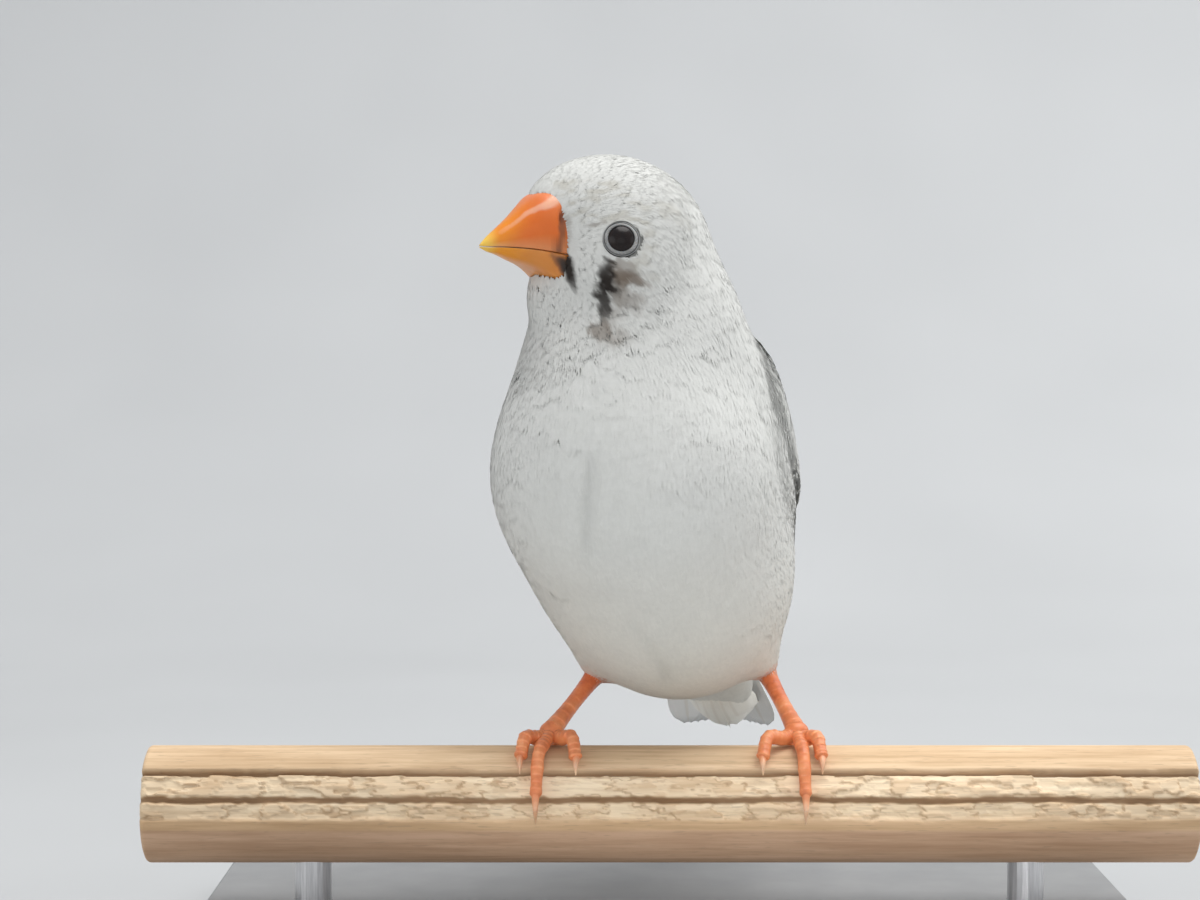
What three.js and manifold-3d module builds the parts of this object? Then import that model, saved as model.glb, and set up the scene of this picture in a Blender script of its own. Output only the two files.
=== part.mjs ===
// A life-size zebra finch, white with a dark tear mark, gripping a short length of grooved wooden perch.
// Two rods carry the perch on a flat display base. The body faces -Y and the head is turned towards -X.
// Millimetres, +Z up, origin at the middle of the base's underside.
import * as THREE from 'three';
import { mergeVertices } from 'three/addons/utils/BufferGeometryUtils.js';
import Module from 'manifold-3d';

const wasm = await Module();
wasm.setup();
const { Manifold, Mesh: ManifoldMesh } = wasm;

// Driving dimensions of the stand and the perch. GAP is what touching pieces keep between them.
const GAP = 0.3;
const PERCH_RADIUS = 6.4;
const PERCH_LENGTH = 114;
const ROD_RADIUS = 2;
const ROD_LENGTH = 5;
const ROD_SPREAD = 78;
const BASE_LENGTH = 104;
const BASE_WIDTH = 62;
const BASE_THICKNESS = 5;
const BASE_CORNER = 9;
const BASE_BEVEL = 0.6;

// Driving angles of the pose, in degrees: yaw turns from -Y towards -X, pitch lifts, lean tips sideways.
const BODY_YAW = 14;
const BODY_PITCH = 57;
const BODY_LEAN = -6;
const HEAD_YAW = 63;
const TAIL_DROP = 36;

// Driving sizes of the bird.
const BODY_HALF_WIDTH = 15.4;
const BODY_HALF_LENGTH = 24;
const HEAD_HALF_WIDTH = 9.3;
const HEAD_HALF_LENGTH = 9.5;
const EYE_RADIUS = 2.1;
const EYE_SUNK = 1.5;
const EYE_AHEAD = -0.4;
const EYE_OVER = -1.2;
const EYE_FORWARD = 0.476;
const EYE_UPWARD = 0.238;
const LID_RADIUS = 1.92;
const LID_THICK = 0.3;
const LID_SUNK = 0.12;
const BILL_LENGTH = 9.9;
const BILL_ROOT = 6;
const WING_LENGTH = 48;
const TAIL_LENGTH = 38.5;
const TAIL_WIDTH = 14.4;
const TARSUS_RADIUS = 0.85;
const TOE_RADIUS = 0.66;
const CLAW_LENGTH = 3.4;
const CLAW_RADIUS = 0.48;
const CLAW_POINT = 0.09;

// The bird is laid out from the middle of the perch's top line, so these set that point in the part.
const PERCH_TOP = BASE_THICKNESS + GAP + ROD_LENGTH + GAP + 2 * PERCH_RADIUS;
const PERCH_SIDEWAYS = -1.1;
const PERCH_FORWARD = -12;

const SIDES = { right: -1, left: 1 };
const rad = THREE.MathUtils.degToRad;
const lerp = THREE.MathUtils.lerp;
const vec = (x, y, z) => new THREE.Vector3(x, y, z);
const sum = (origin, ...terms) =>
  terms.reduce((point, [axis, size]) => point.addScaledVector(axis, size), origin.clone());

// The sideways, forward and upward unit vectors of a piece that is turned, lifted and tipped.
function axesOf(yaw, pitch = 0, lean = 0) {
  const ahead = vec(-Math.sin(rad(yaw)), -Math.cos(rad(yaw)), 0);
  const aside = vec(Math.cos(rad(yaw)), -Math.sin(rad(yaw)), 0);
  const turned = (a, b, angle) => sum(vec(0, 0, 0), [a, Math.cos(rad(angle))], [b, Math.sin(rad(angle))]);
  const along = turned(ahead, vec(0, 0, 1), pitch);
  const over = turned(vec(0, 0, 1), ahead, -pitch);
  return { side: turned(aside, along, -lean), along: turned(along, aside, lean), over };
}

const BODY = { centre: vec(-1.2, 2, 26.5), ...axesOf(BODY_YAW, BODY_PITCH, BODY_LEAN) };
const HEAD = { centre: vec(-4.9, -3.5, 54), ...axesOf(HEAD_YAW) };
const TAIL = { centre: vec(2.6, 14.8, 18.1), ...axesOf(BODY_YAW, TAIL_DROP) };
const place = (frame, side, along, over) =>
  sum(frame.centre, [frame.side, side], [frame.along, along], [frame.over, over]);

// The plumage's outer form is a smooth union of egg-shaped masses.
class Mass {
  constructor(centre, axes, [wide, long, high], blend) {
    this.centre = centre;
    this.axes = [axes.side, axes.along, axes.over];
    this.radii = [wide, long, high];
    this.blend = blend;
  }

  distance(point) {
    let unit = 0;
    let slope = 0;
    const offset = point.clone().sub(this.centre);
    this.axes.forEach((axis, i) => {
      const across = offset.dot(axis) / this.radii[i];
      unit += across ** 2;
      slope += (across / this.radii[i]) ** 2;
    });
    if (slope === 0) return -Math.min(...this.radii);
    return (Math.sqrt(unit) * (Math.sqrt(unit) - 1)) / Math.sqrt(slope);
  }
}

const mass = (frame, [side, along, over], axes, radii, blend) =>
  new Mass(place(frame, side, along, over), axes, radii, blend);

const MASSES = [
  mass(BODY, [0, 0, 0], BODY, [BODY_HALF_WIDTH, BODY_HALF_LENGTH, BODY_HALF_WIDTH], 4),
  mass(BODY, [0, 6, -3.5], BODY, [14.6, 13.5, 12.5], 6),
  mass(BODY, [1.4, -10, -2.4], axesOf(BODY_YAW, 38), [11.4, 11.6, 9.2], 7),
  mass(BODY, [0.6, -16.8, -0.4], axesOf(BODY_YAW, 22), [8.2, 13, 6.2], 7),
  mass(BODY, [0, -16, 6.5], axesOf(BODY_YAW, 44), [8.5, 14, 7], 7),
  mass(BODY, [0, 9, 5], axesOf(BODY_YAW, 60, BODY_LEAN), [11, 15, 9.5], 7),
  new Mass(vec(-2, -1.9, 44.6), axesOf(25, 78, -4), [11.1, 12.4, 11], 7),
  mass(HEAD, [0, -0.7, 0.2], axesOf(HEAD_YAW, -8), [HEAD_HALF_WIDTH, HEAD_HALF_LENGTH, 9.4], 5),
  mass(HEAD, [0, 3.2, 4.5], axesOf(HEAD_YAW, -10), [5.6, 7.2, 5.1], 4),
  mass(HEAD, [3.8, 0.8, -3.2], HEAD, [5, 6.1, 4.6], 4),
  mass(HEAD, [-3.8, 0.8, -3.2], HEAD, [5, 6.1, 4.6], 4),
  mass(HEAD, [0, 4.4, -5.2], HEAD, [3.9, 5.5, 4.2], 4),
  mass(TAIL, [0, -12, 0.3], TAIL, [6.3, 14.5, 4.1], 6),
];

function smoothMin(a, b, blend) {
  const near = Math.max(blend - Math.abs(a - b), 0) / blend;
  return Math.min(a, b) - (near ** 3 * blend) / 6;
}

// Signed distance, roughly, from a point to the plumage's outer form.
function plumage(point) {
  return MASSES.reduce((far, egg) => smoothMin(far, egg.distance(point), egg.blend), Infinity);
}

// The point where a ray from inside leaves the plumage, grown by a clearance.
function reach(origin, direction, grown = 0) {
  let outside = 0;
  while (plumage(sum(origin, [direction, outside])) < grown) outside += 1;
  let inside = Math.max(outside - 1, 0);
  for (let step = 0; step < 16; step++) {
    const middle = (inside + outside) / 2;
    if (plumage(sum(origin, [direction, middle])) < grown) inside = middle;
    else outside = middle;
  }
  return outside;
}

// Solids: a loft through rings of equal count, closed by flat fans or by a point at each end.
function closed(points, faces) {
  const geometry = new THREE.BufferGeometry().setFromPoints(points).setIndex(faces);
  const merged = mergeVertices(geometry, 1e-4);
  const vertProperties = merged.attributes.position.array;
  const make = (triVerts) => new Manifold(new ManifoldMesh({ numProp: 3, vertProperties, triVerts }));
  const triangles = new Uint32Array(merged.index.array).filter((_, i, all) => {
    const [a, b, c] = all.slice(i - (i % 3), i - (i % 3) + 3);
    return a !== b && b !== c && a !== c;
  });
  const solid = make(triangles);
  return solid.volume() > 0 ? solid : make(triangles.toReversed());
}

function loft(rings) {
  const count = Math.max(...rings.map((ring) => ring.length));
  const points = rings.flatMap((ring) => (ring.length === count ? ring : Array(count).fill(ring[0])));
  const faces = [];
  for (let r = 0; r + 1 < rings.length; r++) {
    for (let i = 0; i < count; i++) {
      const j = (i + 1) % count;
      const [a, b, c, d] = [r * count + i, r * count + j, (r + 1) * count + j, (r + 1) * count + i];
      faces.push(a, b, c, a, c, d);
    }
  }
  [0, rings.length - 1].forEach((r) => {
    if (rings[r].length === 1) return;
    const middle = points.length;
    points.push(rings[r].reduce((p, q) => p.add(q), vec(0, 0, 0)).divideScalar(count));
    for (let i = 0; i < count; i++) {
      const [a, b] = [r * count + i, r * count + ((i + 1) % count)];
      faces.push(...(r === 0 ? [middle, b, a] : [middle, a, b]));
    }
  });
  return closed(points, faces);
}

// A round tube along a curve through the points, with its radius given at each share of the length.
function tube(points, radiusAt, sides, steps) {
  const curve = new THREE.CatmullRomCurve3(points);
  const frames = curve.computeFrenetFrames(steps, false);
  const rings = [];
  for (let s = 0; s <= steps; s++) {
    const centre = curve.getPointAt(s / steps);
    const radius = radiusAt(s / steps, s);
    rings.push(
      Array.from({ length: sides }, (_, i) => {
        const turn = (2 * Math.PI * i) / sides;
        const across = [frames.normals[s], radius * Math.cos(turn)];
        return sum(centre, across, [frames.binormals[s], radius * Math.sin(turn)]);
      }),
    );
  }
  return loft(rings);
}

// A feather's vane: a thin plate laid on a surface, split alike on both faces and rounded at its tip. The
// surface is a function of the share along, the distance aside in millimetres and the height.
const VANE_ROWS = { long: [0, 0.4, 0.85, 1], short: [0, 0.7, 1] };
const VANE_THICK = 0.5;
const VANE_TAPER = { root: 0.6, widest: 0.5, tipFrom: 0.7, tipBlunt: 0.31 };

function vaneWidth(share) {
  const swell = lerp(VANE_TAPER.root, 1, Math.min(1, share / VANE_TAPER.widest));
  const past = Math.max(0, (share - VANE_TAPER.tipFrom) / VANE_TAPER.tipBlunt);
  return swell * Math.sqrt(1 - past ** 2);
}

function vane(surface, { width, lift, tilt = 0, rows = VANE_ROWS.long }) {
  const points = [VANE_THICK, 0].flatMap((top) =>
    rows.flatMap((share) =>
      [-1, 1].map((edge) => {
        const aside = (edge * width * vaneWidth(share)) / 2;
        return surface(share, aside, lift(share) + tilt * aside + top);
      }),
    ),
  );
  const faces = [];
  const at = (under, row, edge) => 2 * (under * rows.length + row) + edge;
  const quad = (a, b, c, d) => faces.push(a, b, c, a, c, d);
  for (let r = 0; r + 1 < rows.length; r++) {
    quad(at(0, r, 0), at(0, r + 1, 0), at(0, r + 1, 1), at(0, r, 1));
    faces.push(at(1, r, 0), at(1, r + 1, 1), at(1, r + 1, 0));
    faces.push(at(1, r, 0), at(1, r, 1), at(1, r + 1, 1));
    quad(at(0, r, 0), at(1, r, 0), at(1, r + 1, 0), at(0, r + 1, 0));
    quad(at(0, r + 1, 1), at(1, r + 1, 1), at(1, r, 1), at(0, r, 1));
  }
  const tip = rows.length - 1;
  quad(at(0, 0, 1), at(1, 0, 1), at(1, 0, 0), at(0, 0, 0));
  quad(at(0, tip, 0), at(1, tip, 0), at(1, tip, 1), at(0, tip, 1));
  return closed(points, faces);
}

// After a cut only the largest closed surface is kept.
function largest(solid) {
  return solid.decompose().reduce((a, b) => (b.volume() > a.volume() ? b : a));
}

// A feathered solid's many small faces are joined where they lie this close to flat.
const FLAT_ENOUGH = 0.04;

function geometryOf(solid) {
  const { vertProperties, triVerts } = solid.getMesh();
  const geometry = new THREE.BufferGeometry();
  geometry.setAttribute('position', new THREE.BufferAttribute(new Float32Array(vertProperties), 3));
  geometry.setIndex(new THREE.BufferAttribute(new Uint32Array(triVerts), 1));
  geometry.computeVertexNormals();
  return geometry;
}

function fromGeometry(source, matrix) {
  const bare = source.clone().applyMatrix4(matrix);
  bare.deleteAttribute('normal');
  bare.deleteAttribute('uv');
  const merged = mergeVertices(bare, 1e-4);
  const triVerts = new Uint32Array(merged.index.array);
  const vertProperties = merged.attributes.position.array;
  return new Manifold(new ManifoldMesh({ numProp: 3, vertProperties, triVerts }));
}

// The body is lofted along a spine from the tail's coverts to the crown.
const SPINE = new THREE.CatmullRomCurve3([
  place(TAIL, 0, -20, 0.3),
  place(TAIL, 0, -12, 0.4),
  place(BODY, 0.3, -19, 4),
  place(BODY, 0, -8, 0.5),
  place(BODY, 0, 6, 0),
  vec(-2.6, -1.5, 43),
  place(HEAD, 0, -0.8, -2),
  place(HEAD, 0, -0.9, 1.5),
]);
const SPINE_LENGTH = SPINE.getLength();
const TAIL_CUT = 0.1;
const NECK_CUT = 0.74;
const HEAD_CUT = 0.84;

// A ring of surface points round the spine at a share of its length. Tilt leans its rays towards the end.
function bodyRing(share, count, tilt = 0, grown = 0) {
  const centre = SPINE.getPointAt(share);
  const ahead = SPINE.getTangentAt(share);
  const aside = vec(1, 0, 0).addScaledVector(ahead, -ahead.x).normalize();
  const across = ahead.clone().cross(aside);
  if (Math.abs(tilt) === 90) {
    const pole = ahead.clone().multiplyScalar(Math.sign(tilt));
    return [sum(centre, [pole, reach(centre, pole, grown)])];
  }
  return Array.from({ length: count }, (_, i) => {
    const turn = (2 * Math.PI * i) / count;
    const ray = sum(vec(0, 0, 0), [aside, Math.cos(turn)], [across, Math.sin(turn)])
      .multiplyScalar(Math.cos(rad(tilt)))
      .addScaledVector(ahead, Math.sin(rad(tilt)));
    return sum(centre, [ray, reach(centre, ray, grown)]);
  });
}

function bodyLength(from, to, rings, count, grown = 0) {
  return Array.from({ length: rings }, (_, r) => bodyRing(lerp(from, to, r / (rings - 1)), count, 0, grown));
}

const HALF_GAP = (0.6 * GAP) / SPINE_LENGTH;
const POLE_TILTS = [12, 24, 36, 48, 59, 69, 79, 90];

// The bill tapers from its root in the face to its tip; these give its outline at a distance ahead.
const BILL_SHAPE = [
  { ahead: BILL_ROOT, top: 6.4, mouth: -1.05, bottom: -4.6, half: 4.6, squareness: [3.1, 4] },
  { ahead: 7.5, top: 6.3, mouth: -0.8, bottom: -4.3, half: 4.5, squareness: [3.1, 4] },
  { ahead: 9, top: 6, mouth: -0.55, bottom: -3.1, half: 4.15, squareness: [3.1, 3.4] },
  { ahead: 10, top: 5.55, mouth: -0.35, bottom: -2.4, half: 3.7, squareness: [3, 3] },
  { ahead: 11, top: 4.7, mouth: -0.2, bottom: -1.9, half: 3.1, squareness: [2.6, 2.7] },
  { ahead: 12.5, top: 3.3, mouth: -0.05, bottom: -1.35, half: 2.2, squareness: [2.3, 2.4] },
  { ahead: 14, top: 2.05, mouth: 0.03, bottom: -0.75, half: 1.3, squareness: [2.1, 2.2] },
  { ahead: 15.2, top: 1.05, mouth: 0.05, bottom: -0.4, half: 0.6, squareness: [2, 2] },
  { ahead: BILL_ROOT + BILL_LENGTH, top: 0.3, mouth: 0.1, bottom: -0.05, half: 0.15, squareness: [2, 2] },
];
const BILL_SPRINGING = 0.3;
const BILL_EDGE = 0.93;

// Points over a squarish arch from one side to the other, reaching height above its springing.
function arch(half, height, squareness, count = 11) {
  return Array.from({ length: count }, (_, i) => {
    const turn = (Math.PI * i) / (count - 1);
    const [c, s] = [Math.cos(turn), Math.sin(turn)];
    const power = 2 / squareness;
    return [Math.sign(c) * half * Math.abs(c) ** power, height * Math.abs(s) ** power];
  });
}

function upperBillRing({ ahead, top, mouth, half, squareness }, grown = 0) {
  const spring = lerp(mouth, top, BILL_SPRINGING);
  const vault = arch(half + grown, top + grown - spring, squareness[0]);
  const roof = vault.map(([side, up]) => place(HEAD, side, ahead, spring + up));
  const edge = BILL_EDGE * half + grown;
  const seam = mouth + HALF_GAP - grown;
  return [...roof, ...[-edge, -edge / 3, edge / 3, edge].map((side) => place(HEAD, side, ahead, seam))];
}

function lowerBillRing({ ahead, mouth, bottom, half, squareness }, grown = 0) {
  const seam = mouth - HALF_GAP + grown;
  const edge = BILL_EDGE * half + grown;
  const keel = arch(edge, bottom - grown - seam, squareness[1]);
  const underside = keel.map(([side, up]) => place(HEAD, side, ahead, seam + up));
  return [...underside, ...[-edge / 3, edge / 3].map((side) => place(HEAD, side, ahead, seam))];
}

const NOSTRIL = { side: 4.35, ahead: 8.4, over: 3.3, radius: 0.5 };

// The nostrils are small pits at the top of the bill's root, just ahead of the feathers.
function makeUpperBill() {
  const bill = loft(BILL_SHAPE.map((shape) => upperBillRing(shape)));
  const { side: aside, ahead, over, radius } = NOSTRIL;
  const pits = Object.values(SIDES).map((side) => ball(place(HEAD, side * aside, ahead, over), radius, 8, 6));
  return largest(pits.reduce((rest, pit) => rest.subtract(pit), bill));
}

function makeLowerBill() {
  return loft(BILL_SHAPE.slice(0, -1).map((shape) => lowerBillRing(shape)));
}

// The socket that the bill's root sits in, cut into the face with clearance all round.
function billSocket() {
  const shapes = BILL_SHAPE.map((shape, i) => ({ ...shape, ahead: shape.ahead + (i === 0 ? -GAP : 0) }));
  return loft(shapes.map((shape) => upperBillRing(shape, GAP))).add(
    loft(shapes.slice(0, -1).map((shape) => lowerBillRing(shape, GAP))),
  );
}

// Each eye's centre, sunk into the side of the head, and the way it looks out.
function eyeFrame(side) {
  const inside = place(HEAD, 0, EYE_AHEAD, EYE_OVER);
  const facing = sum(vec(0, 0, 0), [HEAD.side, side], [HEAD.along, EYE_FORWARD], [HEAD.over, EYE_UPWARD]);
  const outward = facing.normalize();
  const surface = sum(inside, [outward, reach(inside, outward)]);
  return { surface, outward, centre: sum(surface, [outward, -EYE_SUNK]) };
}

function ball(centre, radius, around = 12, down = 8) {
  const shift = new THREE.Matrix4().setPosition(centre);
  return fromGeometry(new THREE.SphereGeometry(radius, around, down), shift);
}

// The bare ring of lids round each eye.
function lidRing({ surface, outward }) {
  const ring = new THREE.TorusGeometry(LID_RADIUS, LID_THICK, 5, 14);
  const facing = new THREE.Quaternion().setFromUnitVectors(vec(0, 0, 1), outward);
  const sunk = sum(surface, [outward, -LID_SUNK]);
  return fromGeometry(ring, new THREE.Matrix4().compose(sunk, facing, vec(1, 1, 1)));
}

function makeHead() {
  const crown = POLE_TILTS.map((tilt) => bodyRing(1, 24, tilt));
  const face = loft(bodyLength(HEAD_CUT + HALF_GAP, 1, 7, 24).concat(crown)).subtract(billSocket());
  const eyes = Object.values(SIDES).map(eyeFrame);
  const lidded = eyes.reduce((rest, eye) => rest.add(lidRing(eye)), face);
  return largest(eyes.reduce((rest, eye) => rest.subtract(ball(eye.centre, EYE_RADIUS + GAP)), lidded));
}

function makeNeck() {
  const neck = loft(bodyLength(NECK_CUT + HALF_GAP, HEAD_CUT - HALF_GAP, 4, 24));
  return largest(WING_SOCKETS.reduce((rest, socket) => rest.subtract(socket), neck));
}

// The wings are laid out from the shoulder back along the body, and by distance down from the back's middle.
const WING_START = place(BODY, 0, 12, 3);
const WING_AXIS = place(TAIL, 0, -23, 0.5).sub(WING_START).normalize();
const WING_OVER = BODY.over.clone().addScaledVector(WING_AXIS, -BODY.over.dot(WING_AXIS)).normalize();
const WING_SIDE = WING_AXIS.clone().cross(WING_OVER).normalize();
const WING_OUTLINE = [
  { back: 0, upper: 56, lower: 76, rise: 0.3 },
  { back: 1.5, upper: 47, lower: 87, rise: 0.9 },
  { back: 5, upper: 33, lower: 97, rise: 1.2 },
  { back: 10, upper: 21, lower: 101, rise: 1.1 },
  { back: 17, upper: 14, lower: 97, rise: 0.8 },
  { back: 25, upper: 10, lower: 86, rise: 0.6 },
  { back: 32, upper: 8, lower: 73, rise: 0.6 },
  { back: 39, upper: 8, lower: 62, rise: 0.7 },
  { back: 44, upper: 10, lower: 54, rise: 0.8 },
  { back: WING_LENGTH, upper: 20, lower: 38, rise: 0.7 },
];
const WING_SUNK = 1.3;

// A point on a wing: back from the shoulder, turned in degrees down round the flank, and up off the plumage.
function onFlank(side, back, turn, height) {
  const centre = sum(WING_START, [WING_AXIS, back]);
  const ray = sum(vec(0, 0, 0), [WING_OVER, Math.cos(rad(turn))], [WING_SIDE, side * Math.sin(rad(turn))]);
  return sum(centre, [ray, reach(centre, ray) + height]);
}

function wingRing(side, { back, upper, lower, rise }, grown) {
  const across = [0, 0.12, 0.3, 0.5, 0.7, 0.88, 1];
  const wider = grown * 10;
  const edge = (share) => lerp(upper - wider, lower + wider, share);
  const crown = (share) => rise * (1 - (2 * share - 1) ** 4) - 0.2;
  const outer = across.map((share) => onFlank(side, back, edge(share), grown > 0 ? 4 : crown(share)));
  const inner = across.toReversed().map((share) => onFlank(side, back, edge(share), -WING_SUNK - grown));
  return [...outer, ...inner];
}

function wingSolid(side, grown = 0) {
  const last = WING_OUTLINE.length - 1;
  return loft(
    WING_OUTLINE.map((row, i) => {
      const past = i === 0 ? -1.5 * grown : i === last ? 1.5 * grown : 0;
      return wingRing(side, { ...row, back: row.back + past }, grown);
    }),
  );
}

// Wing feathers in tiers, from the lowest up. A tier runs from its first feather to its last: how far back
// and how far round its roots and tips lie, its width, how high its roots lie and how high its tips rise.
const WING_TIERS = {
  primaries: {
    count: 6,
    roots: { back: [12, 16], turn: [92, 62], height: -0.6 },
    tips: { back: [46.6, 40.5], turn: [45, 22], height: [0.05, 0.6] },
    width: 3.6,
    rows: VANE_ROWS.long,
  },
  secondaries: {
    count: 5,
    roots: { back: [9, 12], turn: [72, 34], height: -0.4 },
    tips: { back: [37.5, 33], turn: [55, 24], height: [0.55, 0.85] },
    width: 4,
    rows: VANE_ROWS.long,
  },
  tertials: {
    count: 3,
    roots: { back: [10, 9], turn: [36, 24], height: 0.1 },
    tips: { back: [35.5, 28], turn: [20, 15], height: [0.95, 1.3] },
    width: 5.2,
    rows: VANE_ROWS.long,
  },
  primaryCoverts: {
    count: 3,
    roots: { back: [6, 8], turn: [91, 76], height: 0 },
    tips: { back: [19, 17.5], turn: [88, 72], height: [0.5, 0.6] },
    width: 3,
    rows: VANE_ROWS.short,
  },
  greaterCoverts: {
    count: 5,
    roots: { back: [5.5, 7], turn: [76, 36], height: 0.2 },
    tips: { back: [15.5, 17], turn: [74, 28], height: [0.85, 1.2] },
    width: 3.8,
    rows: VANE_ROWS.short,
  },
  medianCoverts: {
    count: 4,
    roots: { back: [2.6, 3], turn: [80, 44], height: 0.3 },
    tips: { back: [9.5, 11], turn: [82, 36], height: [1.2, 1.35] },
    width: 3.8,
    rows: VANE_ROWS.short,
  },
  scapulars: {
    count: 2,
    roots: { back: [4, 7], turn: [40, 22], height: 0.2 },
    tips: { back: [14, 19], turn: [25, 14], height: [1.35, 1.5] },
    width: 4.4,
    rows: VANE_ROWS.short,
  },
};
const WING_SHINGLE = -0.09;
const EMERGED = 0.45;

function wingFeather(side, tier, share) {
  const { roots, tips, width, rows } = tier;
  const between = ([first, last]) => lerp(first, last, share);
  const surface = (along, aside, up) => {
    const back = lerp(between(roots.back), between(tips.back), along);
    const turn = lerp(between(roots.turn), between(tips.turn), along);
    const centre = sum(WING_START, [WING_AXIS, back]);
    const ray = sum(vec(0, 0, 0), [WING_OVER, Math.cos(rad(turn))], [WING_SIDE, side * Math.sin(rad(turn))]);
    return onFlank(side, back, turn + THREE.MathUtils.radToDeg(aside / reach(centre, ray)), up);
  };
  const lift = (along) => lerp(roots.height, between(tips.height), Math.min(1, along / EMERGED));
  return vane(surface, { width, lift, tilt: WING_SHINGLE, rows });
}

function makeWing(side) {
  const feathers = Object.values(WING_TIERS).flatMap((tier) =>
    Array.from({ length: tier.count }, (_, i) => wingFeather(side, tier, i / (tier.count - 1))),
  );
  const wing = feathers.reduce((whole, feather) => whole.add(feather), wingSolid(side));
  const outward = WING_SIDE.clone().multiplyScalar(side);
  const midline = outward.dot(WING_START) + GAP / 2;
  const trimmed = wing.intersect(wingSolid(side, GAP / 3)).trimByPlane(outward.toArray(), midline);
  return largest(trimmed.simplify(FLAT_ENOUGH));
}

const WING_SOCKETS = Object.values(SIDES).map((side) => wingSolid(side, GAP));

// Each leg: the knee hidden in the flank, the ankle at the plumage's edge, the toes' hub on the perch and how
// far each toe turns in towards the other foot.
const LEGS = {
  right: {
    knee: vec(-6.8, 4.5, 14.5),
    ankle: vec(-6.5, 9, 7.3),
    hub: vec(-11.8, 0.3, 1.6),
    spread: { middle: -1.6, inner: 2.7, outer: -3.3, hallux: 0.6 },
  },
  left: {
    knee: vec(8.6, 4.5, 14.5),
    ankle: vec(12, 9, 7.3),
    hub: vec(15, 0.3, 1.6),
    spread: { middle: -0.5, inner: 4, outer: -2.4, hallux: 0.6 },
  },
};

function thighSolid({ knee, ankle }, grown = 0) {
  const low = knee.clone().lerp(ankle, 0.93);
  const stretch = low.clone().sub(knee).normalize();
  const path = [sum(knee, [stretch, -grown]), knee.clone().lerp(low, 0.5), sum(low, [stretch, grown])];
  return tube(path, (share) => lerp(3.6, 1.7, share) + grown, 12, 6);
}

// Scutes are rings that stand this share of the radius out of a tarsus or a toe.
const SCUTE = 0.06;
const TARSUS_SCUTES = 12;

function tarsusSolid({ ankle, hub }, grown = 0) {
  const run = hub.clone().sub(ankle).normalize();
  const path = [sum(ankle, [run, 0.2 - grown]), ankle.clone().lerp(hub, 0.5), sum(hub, [run, -1.9])];
  const scute = (share) => (grown > 0 ? SCUTE : SCUTE * Math.cos(Math.PI * TARSUS_SCUTES * share));
  const joint = (share) => 1 + 0.3 * (2 * share - 1) ** 2;
  return tube(path, (share) => TARSUS_RADIUS * (joint(share) + scute(share)) + grown, 8, TARSUS_SCUTES);
}

function makeThigh(leg) {
  const sockets = [...WING_SOCKETS, tarsusSolid(leg, GAP)];
  return largest(sockets.reduce((rest, socket) => rest.subtract(socket), thighSolid(leg)));
}

function makeTorso() {
  const torso = loft(bodyLength(TAIL_CUT + HALF_GAP, NECK_CUT - HALF_GAP, 16, 24));
  const legs = Object.values(LEGS);
  const sockets = [...WING_SOCKETS, ...legs.map((leg) => thighSolid(leg, GAP).add(tarsusSolid(leg, GAP)))];
  return largest(sockets.reduce((rest, socket) => rest.subtract(socket), torso));
}

// Six pairs of tail feathers lie under one another from the middle pair out.
const TAIL_PAIRS = 6;
const TAIL_FEATHER = { width: 4.8, root: 11, stack: 0.42 };

function tailFeather(side, pair) {
  const share = pair / (TAIL_PAIRS - 1);
  const outer = TAIL_WIDTH / 2 - TAIL_FEATHER.width / 2;
  const [rootSide, tipSide] = [lerp(0.5, 2.4, share), lerp(0.85, outer, share)];
  const length = TAIL_LENGTH - 0.3 * pair;
  const over = -TAIL_FEATHER.stack * (pair + (side < 0 ? 0.5 : 0)) + 0.9;
  const surface = (along, aside, up) => {
    const out = side * lerp(rootSide, tipSide, along) + aside;
    return place(TAIL, out, -lerp(TAIL_FEATHER.root, length, along), over + up - 0.012 * out ** 2);
  };
  return vane(surface, { width: TAIL_FEATHER.width, lift: () => 0 });
}

// Coverts lie on the tail's root, one row above it and two below. None reaches over the rump.
const COVERT_REACH = 2;
const TAIL_COVERTS = [
  { face: 1, count: 3, root: 12, tip: 25, spread: 2.8, width: 4, lift: -0.2 },
  { face: -1, count: 4, root: 11, tip: 23, spread: 4, width: 4, lift: 0.1 },
  { face: -1, count: 3, root: 14, tip: 29, spread: 2.6, width: 4.4, lift: -0.4 },
];

function tailCovert({ face, root, tip, spread, width, lift }, share) {
  const out = lerp(-spread, spread, share);
  const surface = (along, aside, up) => {
    const foot = place(TAIL, out + aside, -lerp(root, tip, along), 0.3);
    const ray = TAIL.over.clone().multiplyScalar(face);
    return sum(foot, [ray, Math.max(reach(foot, ray), 0.9) + up]);
  };
  const rise = (along) => lerp(-0.7, lift, Math.min(1, along / EMERGED));
  return vane(surface, { width, lift: rise, tilt: 0.05 * Math.sign(out || 1), rows: VANE_ROWS.short });
}

function makeTail() {
  const rings = POLE_TILTS.toReversed()
    .map((tilt) => bodyRing(0, 24, -tilt))
    .concat(bodyLength(0, TAIL_CUT - HALF_GAP, 4, 24));
  const pairs = Array.from({ length: TAIL_PAIRS }, (_, pair) => pair);
  const feathers = pairs.flatMap((pair) => Object.values(SIDES).map((side) => tailFeather(side, pair)));
  const coverts = TAIL_COVERTS.flatMap((row) =>
    Array.from({ length: row.count }, (_, i) => tailCovert(row, i / (row.count - 1))),
  );
  const tail = [...feathers, ...coverts].reduce((whole, feather) => whole.add(feather), loft(rings));
  const rump = loft(bodyLength(TAIL_CUT - HALF_GAP, 2 * TAIL_CUT, 3, 24, COVERT_REACH));
  const trimmed = [rump, ...WING_SOCKETS].reduce((rest, socket) => rest.subtract(socket), tail);
  return largest(trimmed.simplify(FLAT_ENOUGH));
}

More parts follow.
